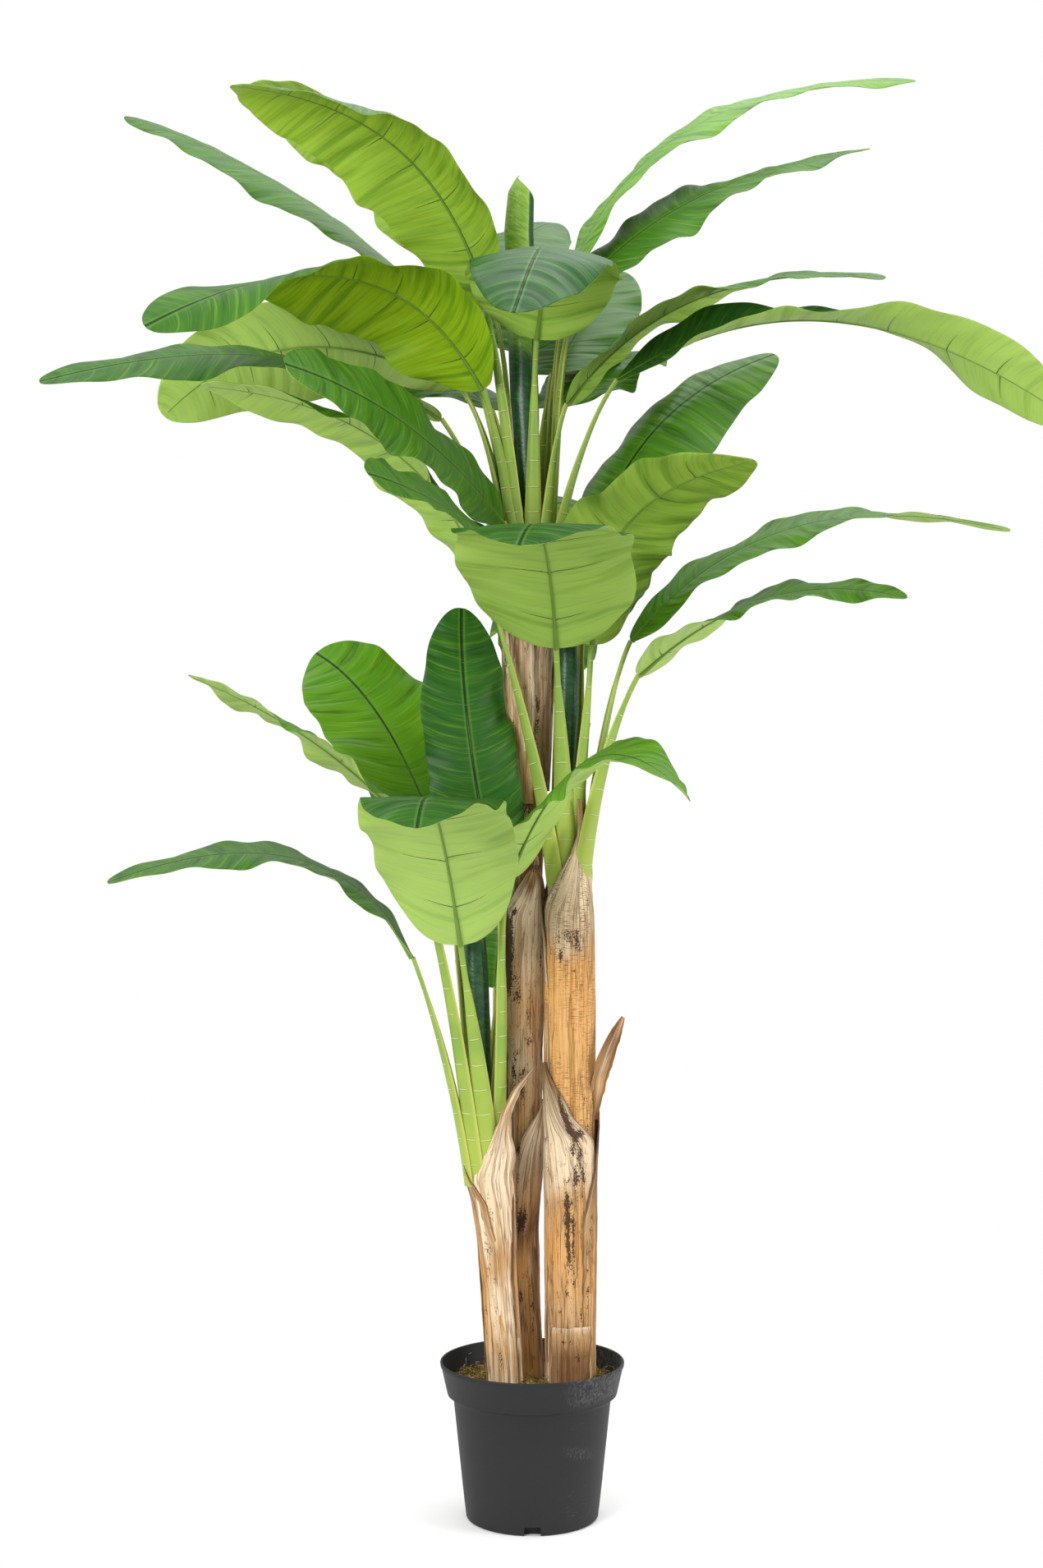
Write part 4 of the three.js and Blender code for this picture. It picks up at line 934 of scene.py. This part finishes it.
def ribs(blade):
    """The midrib, a tapering rod under the blade, and its pairs of curved side ribs."""
    t = np.linspace(0, 0.985, 60)[None]
    line, out, _ = blade.at(t, np.zeros_like(t))
    thick = np.interp(t, (0, 0.12, 1), (4.2, 2.2, 0.7))
    middle = tubes(line - out * (thick * 0.55)[..., None], thick, out, 8, paint=4)
    starts = np.arange(0.10 * blade.length, 0.9 * blade.length, RIB_GAP)
    starts = np.repeat(starts + rng.uniform(-9, 9, len(starts)), 2) + rng.uniform(-5, 5, 2 * len(starts))
    side = np.tile([-1.0, 1.0], len(starts) // 2)
    share = np.linspace(0, 1, 10)
    half = STALK_WIDTH / 2 + (blade.width - STALK_WIDTH) / 2 * blade_outline(starts / blade.length)
    away = share[None] * (half * RIB_REACH * rng.uniform(0.8, 1.1, len(half)))[:, None]
    along = np.clip((starts[:, None] + sweep(away, half[:, None])) / blade.length, 0, 0.98)
    local = STALK_WIDTH / 2 + (blade.width - STALK_WIDTH) / 2 * blade_outline(along)
    path, out, _ = blade.at(along, side[:, None] * np.minimum(away / local, 0.9))
    fine = np.broadcast_to(np.linspace(1.35, 0.5, 10), away.shape)
    return [middle, tubes(path - out * 0.25, fine, out, 5, paint=3)]


def stalk_skin(blade):
    """The sheath and stalk: a Bezier curve from the crown to the neck carries a crescent that opens
    to the crown's axis, wide and thin at the root and a grooved rod near the neck, with one spur."""
    radius, sheath = RINGS[blade.ring]
    outward = np.array([np.cos(blade.turn), np.sin(blade.turn), 0])
    root = blade.crown + outward * radius * ROOT_TUCK - np.array([0, 0, ROOT_DEPTH])
    neck = blade.points[0]
    rise = np.linalg.norm(neck - root)
    _, run = curve(blade.points, np.array([0.01]))
    entry = run[0] + (neck - root) / rise
    entry /= np.linalg.norm(entry)
    ends = [root, root + np.array([0, 0, rise * STALK_UPRIGHT]) + outward * rise * STALK_SPREAD,
            neck - entry * rise * STALK_ENTRY, neck]
    s = np.linspace(0, 1, STALK_ROWS)
    weights = np.stack([(1 - s) ** 3, 3 * s * (1 - s) ** 2, 3 * s ** 2 * (1 - s), s ** 3], axis=1)
    centre = weights @ np.array(ends)
    run = np.gradient(centre, axis=0)
    run /= np.linalg.norm(run, axis=1, keepdims=True)
    swing = s * s * (3 - 2 * s)
    side, out = frames(run, blade.turn + (blade.heading - blade.turn) * swing,
                       np.radians(blade.roll[0]) * swing)
    wide = np.maximum(0, 1 - s / 0.8) ** 0.95
    width = 9.5 + (sheath * 2.05 - 9.5) * wide
    clasp = np.radians(115 - 60 * wide ** 0.5)
    bend = width / 2 / np.sin(np.minimum(clasp, np.pi / 2))
    inner = bend - (4.2 * wide + 3.6 * (1 - wide))
    sweep_round = np.linspace(-1, 1, 13)
    outer_turn = 1.5 * np.pi + clasp[:, None] * sweep_round
    inner_turn = outer_turn[:, ::-1]
    lift = bend * (1 + np.cos(clasp)) / 2
    points = [centre[:, None] + side[:, None] * (size[:, None] * np.cos(turn))[..., None]
              + out[:, None] * (size[:, None] * np.sin(turn) + lift[:, None])[..., None]
              for size, turn in ((bend, outer_turn), (inner, inner_turn))]
    points = np.concatenate(points, axis=1)[None]
    steps = np.concatenate([[0], np.cumsum(np.linalg.norm(np.diff(centre, axis=0), axis=1))]) * 0.001
    across = np.concatenate([sweep_round, sweep_round[::-1] * 0.99, [-1]])
    spots = paired(across, steps[:, None])[None]
    at = int((STALK_ROWS - 1) * 0.6)
    spur = np.stack([centre[at] + side[at] * 3.0, centre[at] + side[at] * 6.5 + run[at] * 3,
                     centre[at] + side[at] * 8.5 + run[at] * 9])[None]
    return [surface(points, spots, paint=2), tubes(spur, np.array([[2.4, 1.6, 0.5]]), out[at], 5, paint=2)]


def leaf_top(start):
    """Printed top side: deep green with yellow-green streaks along the side veins, a dark groove on
    the midrib between two paler lines, and pleats with painted shade in their hollows; the print has a soft
    gloss."""
    vein, away, _ = start.sheet().axes()
    yellow = start.spread("yellow")
    distance = abs(away)
    streak = start.vector(vein * 260, away * 9).noise(1, 3, 0.6)
    band = start.vector(vein * 60, away * 5, 3.0).noise(1, 3, 0.6)
    pleats = start.vector(vein * 60, away * 5, 3.0).noise(1, 0.6)
    cloud = start.place().noise(7, 2)
    deep = cloud.mix((0.007, 0.060, 0.008), (0.014, 0.105, 0.010))
    bright = cloud.mix((0.065, 0.24, 0.004), (0.16, 0.37, 0.008))
    base = yellow.mix(deep, bright)
    streaked = (streak.rise(0.50, 0.72) * (0.25 + yellow * 0.55)).mix(base, (0.22, 0.42, 0.02))
    banded = (band.rise(0.52, 0.70) * (0.25 + yellow * 0.4)).mix(streaked, (0.13, 0.33, 0.012))
    # Painted shade: darker where the pleats' bump is low, in their hollows.
    painted_pleat_shade = (band.rise(0.48, 0.30) * 0.6).mix(banded, (0.004, 0.040, 0.005))
    beside = distance.rise(0.0022, 0.0034) * distance.rise(0.0075, 0.0045)
    edged = (beside * 0.28).mix(painted_pleat_shade, (0.15, 0.34, 0.03))
    groove = distance.rise(0.0026, 0.0012)
    return {"Base Color": (groove * 0.9).mix(edged, (0.004, 0.030, 0.004)),
            "Roughness": 0.36 + streak * 0.14 + cloud * 0.08,
            "Height": pleats * 0.0050 - groove * 0.0010}


def leaf_under(start):
    """Under side: matt green with painted backlight, warmer and more streaked on leaves with more glow, as if
    light came through the fabric; with pleats, and darker bands along the side veins painted as shade in the
    pleats' hollows."""
    vein, away, _ = start.sheet().axes()
    glow = start.spread("glow")
    streak = start.vector(vein * 230, away * 8, 5.0).noise(1, 3, 0.6)
    band = start.vector(vein * 52, away * 5, 9.0).noise(1, 3, 0.6)
    pleats = start.vector(vein * 52, away * 5, 9.0).noise(1, 0.6)
    cloud = start.place().noise(6, 2)
    pale = cloud.mix((0.32, 0.48, 0.115), (0.41, 0.58, 0.16))
    warm = cloud.mix((0.17, 0.33, 0.004), (0.29, 0.46, 0.006))
    # Painted backlight: glow turns the under side from pale to warm yellow-green, as light shining through
    # the fabric would.
    base = glow.mix(pale, warm)
    streaked = (streak.rise(0.46, 0.70) * (0.15 + glow * 0.35)).mix(base, (0.38, 0.53, 0.02))
    # Painted shade in the pleats' hollows, stronger where the painted backlight is stronger.
    painted_pleat_shade = (band.rise(0.52, 0.32) * (0.15 + glow * 0.5)).mix(streaked, (0.085, 0.20, 0.004))
    fine = (streak.rise(0.46, 0.32) * (0.1 + glow * 0.35)).mix(painted_pleat_shade, (0.09, 0.22, 0.004))
    return {"Base Color": fine, "Roughness": 0.5 + streak * 0.12,
            "Height": streak * 0.0002 + pleats * 0.0042}


def stalk_green(start):
    """Moulded stalk: light green, yellow at its edges and root, with short pale nicks across it."""
    across, along, _ = start.sheet().axes()
    cloud = start.place().noise(16, 3)
    edge = abs(across).rise(0.72, 1.0)
    nick = ((along + cloud * 0.01) / 0.041).fraction()
    mark = nick.rise(0.0, 0.02) * nick.rise(0.07, 0.045) * abs(across).rise(0.75, 0.5)
    base = along.rise(0.02, 0.24).mix((0.34, 0.43, 0.055), (0.21, 0.35, 0.045))
    mottled = (cloud.rise(0.35, 0.7) * 0.5).mix(base, (0.36, 0.47, 0.06))
    edged = (edge * 0.75).mix(mottled, (0.52, 0.53, 0.12))
    return {"Base Color": (mark * 0.8).mix(edged, (0.62, 0.66, 0.28)),
            "Roughness": 0.42 + cloud * 0.15, "Height": mark * 0.0012 + cloud * 0.001}


def rib_green(dark, light):
    """Moulded ribs, mottled between two greens."""
    return lambda start: {"Base Color": start.place().noise(40, 2).mix(dark, light)}


leaf_paints = [material("leaf_top", leaf_top, Specular_IOR_Level=0.24),
               material("leaf_under", leaf_under, Specular_IOR_Level=0.22),
               material("stalk_green", stalk_green, Specular_IOR_Level=0.4),
               material("side_rib_green", rib_green((0.050, 0.105, 0.008), (0.095, 0.17, 0.015)),
                        Roughness=0.5),
               material("midrib_green", rib_green((0.095, 0.18, 0.014), (0.17, 0.29, 0.03)), Roughness=0.5)]
for label, rows in LEAVES.items():
    for index, row in enumerate(rows):
        blade = Blade(CROWNS[label], row, index * WAVE_PHASE)
        name = f"leaf_{label}_{index + 1:02d}"
        # glow is the under side's painted backlight.
        build("fabric_" + name, [blade_skin(blade), *ribs(blade), *stalk_skin(blade)], leaf_paints, "leaf",
              [name], sharp=60, yellow=row[10], glow=row[11])

# ---- Rolled leaves -------------------------------------------------------------------------------
# In each crown's heart stands a young leaf still rolled: one sheet wound on itself, dark outside
# and light green where the inside shows at its slanted mouth. Each has its crown, its stations of
# height, radius and lean, and how much of its outer turn is folded to show the light side.
ROLLED_LEAVES = {
    "rolled_leaf_upper": ("upper", ((0, 6, 0), (90, 8, 0), (150, 12, -2), (230, 20, -7), (330, 24, -11),
                                    (480, 24, -15), (600, 25, -20), (670, 22, -16), (694, 15, -10),
                                    (702, 7, -6)), 0.24),
    "rolled_leaf_middle": ("middle", ((0, 6, 0), (110, 8, 0), (180, 15, 0), (260, 18, 2), (330, 18, 3),
                                      (400, 14, 3), (440, 5, 3)), 0.0),
    "rolled_leaf_lower": ("lower", ((0, 6, 0), (100, 8, -4), (170, 15, -10), (250, 20, -17), (330, 20, -20),
                                    (410, 15, -20), (460, 5, -18)), 0.0),
}
ROLL_ROWS, ROLL_COLUMNS = 110, 56


def rolled(crown, stations):
    """A rolled sheet on a grid of height and winding: the radius shrinks inward over one and a half
    turns, and the sheet's mouth slants down from its outer edge."""
    knots = np.array(stations, float).T
    share = np.linspace(0, 1, ROLL_ROWS)
    winding = np.linspace(0, 1, ROLL_COLUMNS)
    total = knots[0, -1]
    slant = 1 - 0.16 * np.sin(winding * np.pi * 0.5 + 0.2) ** 2
    height = total * share[:, None] * slant[None]
    radius = np.interp(height, knots[0], knots[1])
    lean = np.interp(height, knots[0], knots[2])
    turn = np.radians(172) + winding[None] * 3.1 * np.pi
    pull = radius * (1.02 - 0.42 * winding[None]) + 0.6 * np.sin(height / 37 + turn)
    grid = np.stack([crown[0] + lean + pull * np.cos(turn), crown[1] + pull * np.sin(turn),
                     crown[2] + height + CLEARANCE], axis=-1)
    outs = np.stack([np.cos(turn), np.sin(turn), np.zeros_like(turn)], axis=-1) * np.ones((ROLL_ROWS, 1, 1))
    points = two_sided(grid, outs, 1.4)[None]
    spots = paired(np.r_[winding[::-1], winding, winding[-1:]], share[:, None] * total * 0.001)[None]
    paint = np.where(np.arange(points.shape[2]) < points.shape[2] // 2, 0, 1)
    return surface(points, spots, paint=paint)


def roll_top(start):
    """The outside of a roll: the leaf's deep print, seen along its veins. High on some rolls the
    sheet's light under side is folded out along its free edge."""
    across, along, _ = start.sheet().axes()
    streak = start.vector(along * 160, across * 12).noise(1, 3, 0.6)
    base = streak.ramp((0.3, (0.004, 0.035, 0.008)), (0.55, (0.010, 0.075, 0.016)), (0.8, (0.04, 0.16, 0.03)))
    flap = along.rise(0.40, 0.46) * (start.spread("flap") - across).rise(-0.005, 0.005)
    light = streak.rise(0.3, 0.7).mix((0.16, 0.33, 0.02), (0.30, 0.50, 0.05))
    return {"Base Color": flap.mix(base, light), "Roughness": 0.28 + streak * 0.15, "Height": streak * 0.001}


roll_paints = [material("roll_top", roll_top, Specular_IOR_Level=0.5), leaf_paints[1]]
for name, (label, stations, flap) in ROLLED_LEAVES.items():
    # The inside shows the leaf's under side with painted backlight of 0.8.
    build("fabric_" + name, [rolled(CROWNS[label], stations)], roll_paints, "rolled_leaf", [name],
          sharp=60, yellow=0.2, glow=0.8, flap=flap)
